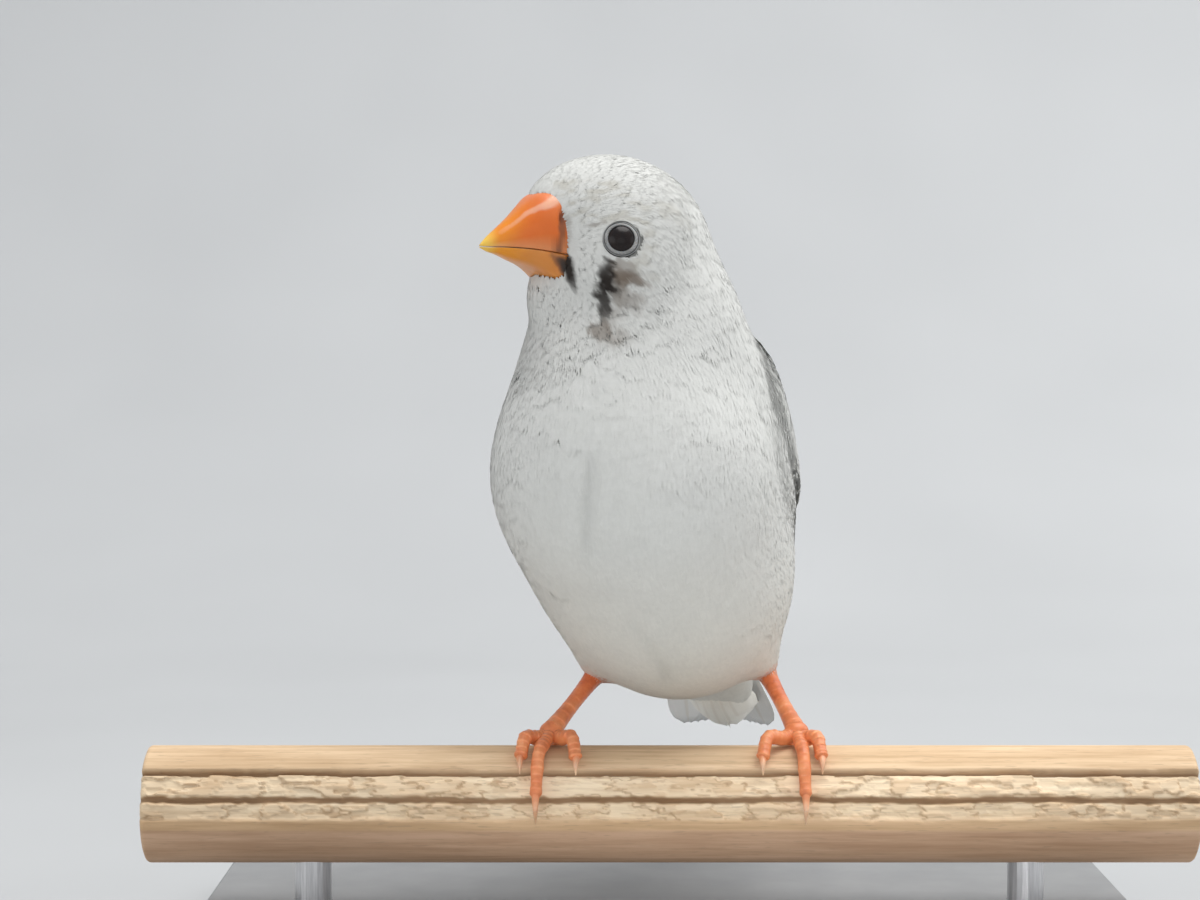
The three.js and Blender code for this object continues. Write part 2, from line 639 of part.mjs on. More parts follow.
// Each toe bends round the perch: turn is measured round it from the top, towards the front. A front side toe
// dips from the hub, rises to a knuckle and grips with its claw.
const TOES = {
  middle: { reach: 75, stretch: 1, radius: TOE_RADIUS, dip: 0.15, knuckle: 0.3, scutes: 14 },
  inner: { reach: 39, stretch: 0.72, radius: 1.1 * TOE_RADIUS, dip: 0.1, knuckle: 0.75, scutes: 10 },
  outer: { reach: 38, stretch: 0.72, radius: 1.1 * TOE_RADIUS, dip: 0.1, knuckle: 0.75, scutes: 10 },
  hallux: { reach: -70, stretch: 1.1, radius: 1.1 * TOE_RADIUS, dip: 0.2, knuckle: 0.35, scutes: 12 },
};

function roundPerch(x, turn, clear) {
  const out = PERCH_RADIUS + GAP + clear;
  return vec(x, -out * Math.sin(rad(turn)), out * Math.cos(rad(turn)) - PERCH_RADIUS);
}

function toePath(side, { hub, spread }, toe) {
  const { reach: turn, radius, dip, knuckle } = TOES[toe];
  const x = (share) => hub.x - side * spread[toe] * Math.min(1, 1.5 * share);
  return [
    hub,
    roundPerch(x(0.25), turn * 0.2, radius + dip),
    roundPerch(x(0.55), turn * 0.5, radius + knuckle),
    roundPerch(x(1), turn, radius),
  ];
}

function makeFoot(side, leg) {
  const toes = Object.entries(TOES).map(([name, { radius, scutes }]) => {
    const ridge = (share) => 1.2 - 0.3 * share + SCUTE * Math.cos(Math.PI * scutes * share);
    return tube(toePath(side, leg, name), (share) => radius * ridge(share), 6, scutes);
  });
  return toes.reduce((foot, toe) => foot.add(toe), ball(leg.hub, 1.3, 10, 8));
}

function makeClaw(side, leg, toe) {
  const { reach: turn, stretch } = TOES[toe];
  const curve = new THREE.CatmullRomCurve3(toePath(side, leg, toe));
  const start = sum(curve.getPointAt(1), [curve.getTangentAt(1), GAP]);
  const past = THREE.MathUtils.radToDeg((CLAW_LENGTH * stretch) / (PERCH_RADIUS + 1));
  const end = turn + Math.sign(turn) * past;
  const bend = roundPerch(start.x, (turn + end) / 2, 0.75);
  const point = roundPerch(start.x, end, 0.25);
  return tube([start, bend, point], (share) => lerp(CLAW_RADIUS, CLAW_POINT, share), 6, 4);
}

// The perch's section: bands round it from its top towards the front, each as deep below the full radius as
// its depth, and uneven by its wear where it has been gnawed.
const PERCH_BANDS = [
  { from: 0, to: 53, depth: 0, wear: 0.03, faces: 4 },
  { from: 56, to: 65, depth: 0.6, wear: 0.08, faces: 1 },
  { from: 67, to: 84, depth: 0.15, wear: 0.28, faces: 3 },
  { from: 87, to: 93, depth: 0.7, wear: 0.1, faces: 1 },
  { from: 95, to: 112, depth: 0.2, wear: 0.3, faces: 3 },
  { from: 115, to: 345, depth: 0.05, wear: 0.03, faces: 11 },
];
const PERCH_STATIONS = 15;
const PERCH_ROUNDING = 0.5;

// A slow uneven wave along the wood, from 0 to 1.
function gnawed(x, turn) {
  const waves = [0.83 * x + 0.21 * turn, 0.31 * x - 0.37 * turn, 1.7 * x + 0.9 * turn];
  return 0.5 + waves.reduce((total, wave) => total + Math.sin(wave), 0) / (2 * waves.length);
}

// The perch, with a socket for each rod on its underside.
function makePerch() {
  const half = PERCH_LENGTH / 2;
  const section = PERCH_BANDS.flatMap(({ from, to, depth, wear, faces }) =>
    Array.from({ length: faces + 1 }, (_, i) => ({ turn: lerp(from, to, i / faces), depth, wear })),
  );
  const ring = (x, shrink) =>
    section.map(({ turn, depth, wear }) => {
      const out = PERCH_RADIUS - shrink - depth - wear * gnawed(x, turn);
      return vec(x - PERCH_SIDEWAYS, -out * Math.sin(rad(turn)), out * Math.cos(rad(turn)) - PERCH_RADIUS);
    });
  const run = half - PERCH_ROUNDING;
  const stations = Array.from({ length: PERCH_STATIONS }, (_, i) => i / (PERCH_STATIONS - 1));
  const length = stations.map((share) => ring(lerp(-run, run, share), 0));
  const dowel = loft([ring(-half, PERCH_ROUNDING), ...length, ring(half, PERCH_ROUNDING)]);
  const toBird = vec(PERCH_SIDEWAYS, PERCH_FORWARD, PERCH_TOP).negate();
  const sockets = [-1, 1].map((side) => rodSolid(side, GAP).translate(toBird.toArray()));
  return sockets.reduce((rest, socket) => rest.subtract(socket), dowel);
}

// A rod stands in a socket in the base and reaches into one in the perch.
const ROD_SOCKET = 2;

function rodSolid(side, grown = 0) {
  const [low, high] = [BASE_THICKNESS - ROD_SOCKET, PERCH_TOP - 2 * PERCH_RADIUS + ROD_SOCKET];
  const rod = new THREE.CylinderGeometry(ROD_RADIUS + grown, ROD_RADIUS + grown, high - low + 2 * grown, 20);
  const stood = new THREE.Matrix4().makeRotationX(Math.PI / 2);
  stood.setPosition((side * ROD_SPREAD) / 2, PERCH_FORWARD, (low + high) / 2);
  return fromGeometry(rod, stood);
}

function makeBase() {
  const outline = new THREE.Shape();
  const [x, y, r] = [BASE_LENGTH / 2 - BASE_BEVEL, BASE_WIDTH / 2 - BASE_BEVEL, BASE_CORNER - BASE_BEVEL];
  outline.moveTo(-x + r, -y).lineTo(x - r, -y);
  outline.absarc(x - r, -y + r, r, -Math.PI / 2, 0).absarc(x - r, y - r, r, 0, Math.PI / 2);
  outline.absarc(-x + r, y - r, r, Math.PI / 2, Math.PI).absarc(-x + r, -y + r, r, Math.PI, 1.5 * Math.PI);
  const plate = new THREE.ExtrudeGeometry(outline, {
    depth: BASE_THICKNESS - 2 * BASE_BEVEL,
    bevelThickness: BASE_BEVEL,
    bevelSize: BASE_BEVEL,
    bevelSegments: 1,
    curveSegments: 6,
  });
  const base = fromGeometry(plate, new THREE.Matrix4().setPosition(0, 0, BASE_BEVEL));
  return [-1, 1].reduce((rest, side) => rest.subtract(rodSolid(side, GAP)), base);
}

const COLOURS = {
  plumage: { color: 0xe9e6dd, roughness: 0.9, metalness: 0 },
  bill: { color: 0xe07a34, roughness: 0.35, metalness: 0 },
  eye: { color: 0x0b0b0d, roughness: 0.08, metalness: 0 },
  leg: { color: 0xd9683a, roughness: 0.5, metalness: 0 },
  claw: { color: 0xc9a184, roughness: 0.4, metalness: 0 },
  wood: { color: 0xc3a67c, roughness: 0.85, metalness: 0 },
  stand: { color: 0xd8d5ce, roughness: 0.5, metalness: 0 },
};

function piece(name, solid, finish) {
  const mesh = new THREE.Mesh(geometryOf(solid), new THREE.MeshStandardMaterial(COLOURS[finish]));
  mesh.name = name;
  return mesh;
}

const bird = new THREE.Group();
bird.position.set(PERCH_SIDEWAYS, PERCH_FORWARD, PERCH_TOP);
bird.add(piece('head', makeHead(), 'plumage'));
bird.add(piece('neck', makeNeck(), 'plumage'));
bird.add(piece('torso', makeTorso(), 'plumage'));
bird.add(piece('tail', makeTail(), 'plumage'));
bird.add(piece('upper_bill', makeUpperBill(), 'bill'));
bird.add(piece('lower_bill', makeLowerBill(), 'bill'));
Object.entries(SIDES).forEach(([name, side]) => {
  const leg = LEGS[name];
  bird.add(piece(`eye_${name}`, ball(eyeFrame(side).centre, EYE_RADIUS), 'eye'));
  bird.add(piece(`wing_${name}`, makeWing(side), 'plumage'));
  bird.add(piece(`thigh_${name}`, makeThigh(leg), 'plumage'));
  bird.add(piece(`tarsus_${name}`, tarsusSolid(leg), 'leg'));
  bird.add(piece(`foot_${name}`, makeFoot(side, leg), 'leg'));
  Object.keys(TOES).forEach((toe) => {
    bird.add(piece(`claw_${name}_${toe}`, makeClaw(side, leg, toe), 'claw'));
  });
});
bird.add(piece('perch', makePerch(), 'wood'));

const part = new THREE.Group();
part.add(bird);
part.add(piece('stand_base', makeBase(), 'stand'));
Object.entries(SIDES).forEach(([name, side]) => {
  part.add(piece(`stand_rod_${name}`, rodSolid(side), 'stand'));
});

export default part;
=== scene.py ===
# The looks of the zebra finch: skin, feathers, bill, eyes, legs, the gnawed perch and the stand.
# Lengths are in millimetres in the bird's frame. Its origin is on the perch's top line, near the middle.
import math

import bpy
import numpy as np
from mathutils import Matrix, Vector


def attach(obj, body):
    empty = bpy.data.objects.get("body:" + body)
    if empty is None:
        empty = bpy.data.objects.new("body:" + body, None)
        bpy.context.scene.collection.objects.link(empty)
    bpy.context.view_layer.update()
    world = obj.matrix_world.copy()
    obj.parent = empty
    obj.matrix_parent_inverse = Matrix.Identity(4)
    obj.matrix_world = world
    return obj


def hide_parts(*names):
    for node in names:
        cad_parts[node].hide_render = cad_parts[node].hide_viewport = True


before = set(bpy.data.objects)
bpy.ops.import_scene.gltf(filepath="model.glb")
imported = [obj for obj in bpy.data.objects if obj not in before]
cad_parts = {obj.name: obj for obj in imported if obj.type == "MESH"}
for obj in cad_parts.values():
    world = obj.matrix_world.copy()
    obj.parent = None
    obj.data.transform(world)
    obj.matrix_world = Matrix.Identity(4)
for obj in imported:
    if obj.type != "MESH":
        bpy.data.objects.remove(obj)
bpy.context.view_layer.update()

MM = 0.001
# Where the bird's frame starts in the part's frame.
ORIGIN = np.array([-1.1, -12.0, 23.4])
PERCH_RADIUS = 6.4
PERCH_HALF = 57.0
# How deep the skin lies under the plumage's form, and how far the feathers are let down towards it.
COAT_DEPTH = 0.55
COAT_DROP = 0.1
SEED = 7
UP = np.array([0.0, 0.0, 1.0])
RIGHT, LEFT = -1, 1
SIDES = {RIGHT: "right", LEFT: "left"}


def vec(*xyz):
    return np.array(xyz, float)


def unit(v):
    return v / np.maximum(np.linalg.norm(v, axis=-1, keepdims=True), 1e-9)


def smooth(low, high, x):
    t = np.clip((x - low) / (high - low), 0, 1)
    return t * t * (3 - 2 * t)


def turned(a, b, degrees):
    return a * math.cos(math.radians(degrees)) + b * math.sin(math.radians(degrees))


def rays_round(turns, first, second):
    """Rays turned from a first axis towards a second."""
    return np.cos(turns)[..., None] * first + np.sin(turns)[..., None] * second


def ring_turns(columns):
    """The turns, in radians, of even columns round a ring."""
    return 2 * np.pi * np.arange(columns) / columns


def apart(points, spot):
    return np.linalg.norm(points - spot, axis=-1)


class Frame:
    """A centre with side, along and over axes: turned, lifted and tipped as the solids are."""

    def __init__(self, centre, yaw, pitch=0.0, lean=0.0):
        yaw_turn = math.radians(yaw)
        ahead = vec(-math.sin(yaw_turn), -math.cos(yaw_turn), 0)
        aside = vec(math.cos(yaw_turn), -math.sin(yaw_turn), 0)
        along = turned(ahead, UP, pitch)
        self.over = turned(UP, ahead, -pitch)
        self.side = turned(aside, along, -lean)
        self.along = turned(along, aside, lean)
        self.centre = centre
        self.axes = np.array([self.side, self.along, self.over])

    def place(self, side, along, over):
        return self.centre + side * self.side + along * self.along + over * self.over

    def local(self, points):
        return (points - self.centre) @ self.axes.T


BODY = Frame(vec(-1.2, 2, 26.5), 14, 57, -6)
HEAD = Frame(vec(-4.9, -3.5, 54), 63)
TAIL = Frame(vec(2.6, 14.8, 18.1), 14, 36)
LEGS = {
    RIGHT: {"knee": vec(-6.8, 4.5, 14.5), "ankle": vec(-6.5, 9, 7.3), "hub": vec(-11.8, 0.3, 1.6)},
    LEFT: {"knee": vec(8.6, 4.5, 14.5), "ankle": vec(12, 9, 7.3), "hub": vec(15, 0.3, 1.6)},
}

# The wings are laid out from the shoulder back along the body and round the flank, as in the solids.
WING_START = BODY.place(0, 12, 3)
WING_AXIS = unit(TAIL.place(0, -23, 0.5) - WING_START)
WING_OVER = unit(BODY.over - WING_AXIS * (BODY.over @ WING_AXIS))
WING_SIDE = np.cross(WING_AXIS, WING_OVER)


def on_flank(side, back, turn):
    """Origins and rays for points back from the shoulder and turned down round the flank."""
    back, turn = np.broadcast_arrays(np.asarray(back, float), np.radians(turn))
    return WING_START + back[..., None] * WING_AXIS, rays_round(turn, WING_OVER, side * WING_SIDE)


# The plumage's form is a smooth union of egg-shaped masses: centre, axes, radii and blend.
MASSES = [
    (BODY.place(0, 0, 0), BODY.axes, (15.4, 24, 15.4), 4),
    (BODY.place(0, 6, -3.5), BODY.axes, (14.6, 13.5, 12.5), 6),
    (BODY.place(1.4, -10, -2.4), Frame(UP, 14, 38).axes, (11.4, 11.6, 9.2), 7),
    (BODY.place(0.6, -16.8, -0.4), Frame(UP, 14, 22).axes, (8.2, 13, 6.2), 7),
    (BODY.place(0, -16, 6.5), Frame(UP, 14, 44).axes, (8.5, 14, 7), 7),
    (BODY.place(0, 9, 5), Frame(UP, 14, 60, -6).axes, (11, 15, 9.5), 7),
    (vec(-2, -1.9, 44.6), Frame(UP, 25, 78, -4).axes, (11.1, 12.4, 11), 7),
    (HEAD.place(0, -0.7, 0.2), Frame(UP, 63, -8).axes, (9.3, 9.5, 9.4), 5),
    (HEAD.place(0, 3.2, 4.5), Frame(UP, 63, -10).axes, (5.6, 7.2, 5.1), 4),
    (HEAD.place(3.8, 0.8, -3.2), HEAD.axes, (5, 6.1, 4.6), 4),
    (HEAD.place(-3.8, 0.8, -3.2), HEAD.axes, (5, 6.1, 4.6), 4),
    (HEAD.place(0, 4.4, -5.2), HEAD.axes, (3.9, 5.5, 4.2), 4),
    (TAIL.place(0, -12, 0.3), TAIL.axes, (6.3, 14.5, 4.1), 6),
    (TAIL.place(1, -19.5, -2.9), TAIL.axes, (4.8, 8.5, 2.6), 3),
]


def egg_distance(points, centre, axes, radii):
    across = ((points - centre) @ axes.T) / radii
    reach = np.sqrt((across**2).sum(-1))
    slope = np.sqrt(((across / radii) ** 2).sum(-1))
    return np.where(slope > 1e-9, reach * (reach - 1) / np.maximum(slope, 1e-9), -min(radii))


def smooth_min(a, b, blend):
    near = np.maximum(blend - np.abs(a - b), 0) / blend
    return np.minimum(a, b) - near**3 * blend / 6


def plumage(points):
    """Rough signed distance from points to the plumage's outer form."""
    far = None
    for centre, axes, radii, blend in MASSES:
        egg = egg_distance(points, centre, axes, np.array(radii, float))
        far = egg if far is None else smooth_min(far, egg, blend)
    return far


def gradient(points):
    step = 0.02
    base = plumage(points)
    slopes = [(plumage(points + step * axis) - base) / step for axis in np.eye(3)]
    return base, np.stack(slopes, -1)


# The least squared slope that a step towards the form is divided by, so that no step runs away.
LEAST_SLOPE = 0.05


def stepped(points, level=0.0):
    """Points moved a step towards a level of the form, and the form's slopes where they were."""
    base, slope = gradient(points)
    size = np.maximum((slope**2).sum(-1), LEAST_SLOPE)
    return points - slope * ((base - level) / size)[..., None], slope


def settle(points, height=0.0, rounds=1):
    """Moves points on to the form, raised by a height, and gives the normals too."""
    for _ in range(rounds):
        points, slope = stepped(points)
    normal = unit(slope)
    return points + normal * np.asarray(height)[..., None], normal


def narrowed(origins, rays, low, high, rounds):
    """Halves the spans between a distance inside the form and one outside it."""
    for _ in range(rounds):
        middle = (low + high) / 2
        inside = plumage(origins + rays * middle[..., None]) < 0
        low, high = np.where(inside, middle, low), np.where(inside, high, middle)
    return high


LONGEST_RAY = 30.0


def reach(origins, rays):
    """The distance along each ray, from inside, at which it first leaves the form."""
    shape = rays.shape[:-1]
    low, high = np.zeros(shape), np.full(shape, LONGEST_RAY)
    found = np.zeros(shape, bool)
    for distance in np.arange(1.0, LONGEST_RAY + 1):
        out = (plumage(origins + rays * distance) >= 0) & ~found
        high = np.where(out, distance, high)
        low = np.where(out, distance - 1, low)
        found |= out
    return narrowed(origins, rays, low, high, 12)


def flank_point(side, back, turn):
    centres, rays = on_flank(side, back, turn)
    return centres + rays * reach(centres, rays)[..., None]


# The folded wings' bends, as (back, turn), and the feathered thighs stand a little out of the body.
WING_BENDS = {RIGHT: (13, 62), LEFT: (8.5, 76)}
BEND_RADII, BEND_SUNK = (7.5, 12.0, 2.5), 0.9
THIGH_RADII, THIGH_SHARE = (2.7, 6.4, 3.0), 0.42
BULGE_BLEND = 3
wing_bulges = []
for side, (back, turn) in WING_BENDS.items():
    inward = -on_flank(side, back, turn)[1]
    axes = np.array([np.cross(inward, WING_AXIS), WING_AXIS, -inward])
    wing_bulges.append((flank_point(side, back, turn) + BEND_SUNK * inward, axes, BEND_RADII, BULGE_BLEND))
MASSES += wing_bulges
for leg in LEGS.values():
    along = unit(leg["ankle"] - leg["knee"])
    across = unit(np.cross(along, vec(1, 0, 0)))
    centre = leg["knee"] + THIGH_SHARE * (leg["ankle"] - leg["knee"])
    MASSES.append((centre, np.array([np.cross(across, along), along, across]), THIGH_RADII, BULGE_BLEND))

# Where each bare leg comes out of the plumage: the last step past its ankle that is still inside.
LEG_SEARCH = np.linspace(-6, 8, 281)[:, None]
for leg in LEGS.values():
    run = unit(leg["hub"] - leg["ankle"])
    inside = plumage(leg["ankle"] + LEG_SEARCH * run) < -0.1
    leg["exit"] = leg["ankle"] + LEG_SEARCH[np.flatnonzero(inside).max()] * run

# The camera of the photo, in the bird's frame, and the photo's size and focal length in pixels.
EYE_POINT = vec(-6.5, -290, 45)
CAMERA_DROP = 2.5
PHOTO_SIZE = (1200, 900)
FOCAL = 2668.0
AHEAD = turned(vec(0, 1, 0), -UP, CAMERA_DROP)
ABOVE = turned(UP, vec(0, 1, 0), CAMERA_DROP)


# The distances from the camera between which its rays can meet the bird.
RAY_STEPS = np.arange(255.0, 330.0, 0.25)


def seen(x, y):
    """Where the camera's ray through a pixel of the photo first meets the form, or passes nearest to it."""
    right, above = x - PHOTO_SIZE[0] / 2, PHOTO_SIZE[1] / 2 - y
    ray = unit(AHEAD + vec(1, 0, 0) * right / FOCAL + ABOVE * above / FOCAL)
    values = plumage(EYE_POINT + RAY_STEPS[:, None] * ray)
    hit = RAY_STEPS[np.argmax(values < 0)] if (values < 0).any() else RAY_STEPS[np.argmin(values)]
    return EYE_POINT + hit * ray


def seen_trail(trail):
    return np.array([seen(x, y) for x, y in trail])


def pixel_of(points):
    """Where points show in the photo's frame."""
    offset = points - EYE_POINT
    depth = offset @ AHEAD
    x = PHOTO_SIZE[0] / 2 + FOCAL * offset[..., 0] / depth
    y = PHOTO_SIZE[1] / 2 - FOCAL * (offset @ ABOVE) / depth
    return np.stack([x, y], -1)


# What turns the number of a noise's cell into a value from 0 to 1, and sets one seed's cells apart.
CELL_PRIMES = np.array([73856093, 19349663, 83492791])
CELL_WRAP, SINE_STEP, SINE_GAIN, SEED_STEP = 99991, 12.9898, 43758.5453, 31.7


def noise(points, size, seed=0):
    """A smooth value noise from 0 to 1 over points, with cells of a size."""
    scaled = points / size + SEED_STEP * seed
    cell = np.floor(scaled).astype(np.int64)
    part = scaled - cell
    part = part * part * (3 - 2 * part)
    total = 0.0
    for corner in range(8):
        shift = np.array([(corner >> k) & 1 for k in range(3)])
        key = (cell + shift) @ CELL_PRIMES
        value = np.abs(np.sin(key % CELL_WRAP * SINE_STEP) * SINE_GAIN) % 1
        total = total + value * np.prod(np.where(shift, part, 1 - part), -1)
    return total


def mark(tone, ragged, *spots):
    """A marking: its colour, how ragged its edge is, and its spots as (x, y, radius, strength)."""
    x, y, radii, strength = zip(*spots)
    return {"tone": tone, "ragged": ragged, "trail": list(zip(x, y)), "radii": radii, "strength": strength}


# Markings on the head. Their spots lie at pixels of the photo, with radii in millimetres.
MARKS = [
    mark("buff", 0.9, (560, 186, 0.9, 0.35), (578, 186, 1.1, 0.45), (596, 193, 1.3, 0.42),
        (618, 190, 1.1, 0.36), (640, 203, 1.1, 0.34), (668, 210, 1.2, 0.25), (690, 228, 1.0, 0.12)),
    mark("buff", 0.8, (574, 205, 0.8, 0.42), (590, 214, 1.0, 0.38), (602, 222, 0.8, 0.45),
        (625, 216, 0.8, 0.42), (645, 226, 0.9, 0.42), (652, 245, 0.9, 0.38), (640, 262, 0.9, 0.34),
        (650, 275, 1.3, 0.2)),
    mark("brown", 0.4, (588, 226, 0.25, 0.3), (598, 225, 0.3, 0.45), (605, 222, 0.25, 0.35)),
    mark("black", 0.3, (604, 257, 0.2, 0.6), (608, 261, 0.22, 0.7), (615, 263, 0.2, 0.5)),
    mark("brown", 0.5, (564, 212, 0.3, 0.25), (568, 222, 0.35, 0.45), (569, 234, 0.35, 0.4),
        (567, 246, 0.35, 0.45), (566, 256, 0.4, 0.6)),
    mark("brown", 1.3, (618, 266, 1.0, 0.5), (626, 272, 1.2, 0.35), (620, 284, 1.5, 0.6),
        (622, 296, 1.5, 0.5), (630, 306, 1.5, 0.25), (612, 318, 1.2, 0.3)),
    mark("brown", 0.9, (616, 276, 0.9, 0.7), (626, 280, 0.8, 0.75), (638, 281, 0.6, 0.8),
        (646, 285, 0.4, 0.4)),
    mark("brown", 1.2, (594, 330, 0.7, 0.65), (602, 333, 0.9, 0.6), (612, 340, 1.0, 0.45),
        (622, 334, 1.2, 0.25)),
    mark("black", 1.0, (610, 265, 0.6, 0.75), (606, 274, 0.85, 0.95), (608, 284, 1.0, 1.0),
        (604, 296, 0.95, 0.95), (605, 307, 0.7, 0.9), (604, 318, 0.45, 0.6)),
    mark("black", 0.4, (566, 258, 0.6, 1.0), (569, 266, 0.8, 1.0), (571, 275, 0.8, 1.0), (572, 283, 0.5, 0.8),
        (576, 294, 0.2, 0.3)),
]
MARK_COLOURS = {"black": (0.028, 0.023, 0.02), "brown": (0.16, 0.115, 0.08), "buff": (0.42, 0.385, 0.3)}
WHITE = vec(0.725, 0.73, 0.7)
CREAM = vec(0.73, 0.715, 0.63)
# The tail's white is painted brighter than the body's: painted light for the light that falls on the tail.
TAIL_WHITE_PAINTED_LIGHT = vec(0.93, 0.935, 0.92)
ANKLE_PINK = (0.68, 0.33, 0.22)
TONE_LIMITS = (0.01, 0.95)


def head_sides(points):
    """Points in the head's frame with both sides folded on to one."""
    local = HEAD.local(points)
    return np.stack([np.abs(local[..., 0]), local[..., 1], local[..., 2]], -1)


def marked(folded, points, mark, spots=None):
    """How far a mark covers each point, with an uneven, feathery edge."""
    if spots is None:
        spots = head_sides(seen_trail(mark["trail"]))
    radii, strength = np.array(mark["radii"]), np.array(mark["strength"])
    uneven = mark["ragged"] * (noise(points, 0.55, 3) - 0.5 + 0.6 * (noise(points, 1.6, 5) - 0.5))
    cover = np.zeros(folded.shape[:-1])
    for at in np.arange(0, len(spots) - 0.8, 0.2):
        i = min(int(at), len(spots) - 2)
        share = at - i
        spot, radius, strong = (v[i] * (1 - share) + v[i + 1] * share for v in (spots, radii, strength))
        cover = np.maximum(cover, strong * (1 - smooth(0.55, 1.3, apart(folded, spot) / radius + uneven)))
    return cover


def mix(base, other, share):
    return base * (1 - share[..., None]) + np.asarray(other) * share[..., None]


def coat_colour(points):
    """The plumage's colour at each point: white, creamy below, with the tear mark on the face."""
    folded = head_sides(points)
    low = 1 - smooth(6, 26, points[..., 2])
    colour = mix(np.broadcast_to(WHITE, points.shape), CREAM, 0.5 * low)
    colour = colour * (1 - 0.03 * noise(points, 2.3, 1) - 0.03 * noise(points, 0.7, 2))[..., None]
    for leg in LEGS.values():
        bare = 1 - smooth(0.9, 3.4, apart(points, leg["exit"]) + noise(points, 0.8, 9) - 0.5)
        colour = mix(colour, ANKLE_PINK, 0.75 * bare)
    on_head = folded[..., 2] > -18
    streaks = smooth(0.35, 0.75, noise(points * vec(1, 1, 2.6), 1.1, 8))
    for mark in MARKS:
        cover = marked(folded, points, mark) * on_head * (streaks if mark["tone"] == "buff" else 1)
        colour = mix(colour, MARK_COLOURS[mark["tone"]], cover)
    return np.clip(colour, *TONE_LIMITS)


# Mesh making. Every piece is built in the bird's frame and set into the part's frame here.
def add_piece(name, points, faces, material, colours=None, uvs=None, replaced=()):
    """A piece that rides on the body, from arrays of points and of faces, all triangles or all quads."""
    mesh = bpy.data.meshes.new(name)
    faces = np.asarray(faces, np.int32)
    corners = faces.shape[1]
    mesh.vertices.add(len(points))
    mesh.vertices.foreach_set("co", ((points + ORIGIN) * MM).astype(np.float32).ravel())
    mesh.loops.add(faces.size)
    mesh.loops.foreach_set("vertex_index", faces.ravel())
    mesh.polygons.add(len(faces))
    mesh.polygons.foreach_set("loop_start", np.arange(0, faces.size, corners, dtype=np.int32))
    mesh.polygons.foreach_set("use_smooth", np.ones(len(faces), bool))
    if uvs is not None:
        layer = mesh.uv_layers.new(name="OFBake")
        layer.uv.foreach_set("vector", uvs[faces.ravel()].astype(np.float32).ravel())
    if colours is not None:
        tone = mesh.attributes.new("Tone", "FLOAT_COLOR", "POINT")
        rgba = np.concatenate([colours, np.ones((len(points), 1))], -1)
        tone.data.foreach_set("color", rgba.astype(np.float32).ravel())
    mesh.update(calc_edges=True)
    mesh.validate()
    mesh.materials.append(material)
    piece = bpy.data.objects.new(name, mesh)
    bpy.context.scene.collection.objects.link(piece)
    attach(piece, "root")
    if replaced:
        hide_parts(*replaced)
    return piece


def grid_faces(rows, columns, closed=False):
    """Quads over a grid of rows by columns, whose rows may close into rings."""
    last = columns if closed else columns - 1
    row, column = np.meshgrid(np.arange(rows - 1), np.arange(last), indexing="ij")
    here, after = row * columns + column, row * columns + (column + 1) % columns
    return np.stack([here, after, after + columns, here + columns], -1).reshape(-1, 4)


def ring_fan(apex, columns, first=0):
    """Triangles from an apex to a ring of points that starts at a number."""
    ring = np.arange(columns)
    return np.stack([np.full(columns, apex), first + (ring + 1) % columns, first + ring], -1)


def halves(quads):
    return np.concatenate([quads[:, [0, 1, 2]], quads[:, [0, 2, 3]]])


def capped(grid, flipped=False):
    """Points and triangles of a grid of rings closed by a fan at each end. Flipped turns every face round."""
    rows, columns = grid.shape[:2]
    points = np.concatenate([grid.reshape(-1, 3), grid[0].mean(0)[None], grid[-1].mean(0)[None]])
    start = ring_fan(rows * columns, columns)
    end = ring_fan(rows * columns + 1, columns, (rows - 1) * columns)[:, [0, 2, 1]]
    triangles = np.concatenate([halves(grid_faces(rows, columns, closed=True)), start, end])
    return points, triangles[:, ::-1] if flipped else triangles


def end_tones(tones):
    """A grid's tones with those of its two end points, which take the first and the last."""
    flat = tones.reshape(-1, 3)
    return np.concatenate([flat, flat[:1], flat[-1:]])


# Curves through a few points.
def with_ends(points):
    """Points with one more past each end, in line with the last two."""
    return np.concatenate([[2 * points[0] - points[1]], points, [2 * points[-1] - points[-2]]])


def between(a, b, c, d, t):
    """The smooth curve from b to c, at shares t of it."""
    return 0.5 * (2 * b + (c - a) * t + (2 * a - 5 * b + 4 * c - d) * t**2 + (3 * b - a - 3 * c + d) * t**3)


def lengths_along(points):
    return np.concatenate([[0], np.cumsum(apart(points[1:], points[:-1]))])


def points_at(at, lengths, points):
    return np.stack([np.interp(at, lengths, points[:, k]) for k in range(3)], -1)


# Materials.
SOCKETS = {
    "colour": "Base Color",
    "rough": "Roughness",
    "specular": "Specular IOR Level",
    "sheen": "Sheen Weight",
    "sheen_rough": "Sheen Roughness",
    "coat": "Coat Weight",
    "coat_rough": "Coat Roughness",
    "subsurface": "Subsurface Weight",
    "subsurface_scale": "Subsurface Scale",
    "subsurface_radius": "Subsurface Radius",
    "metal": "Metallic",
}


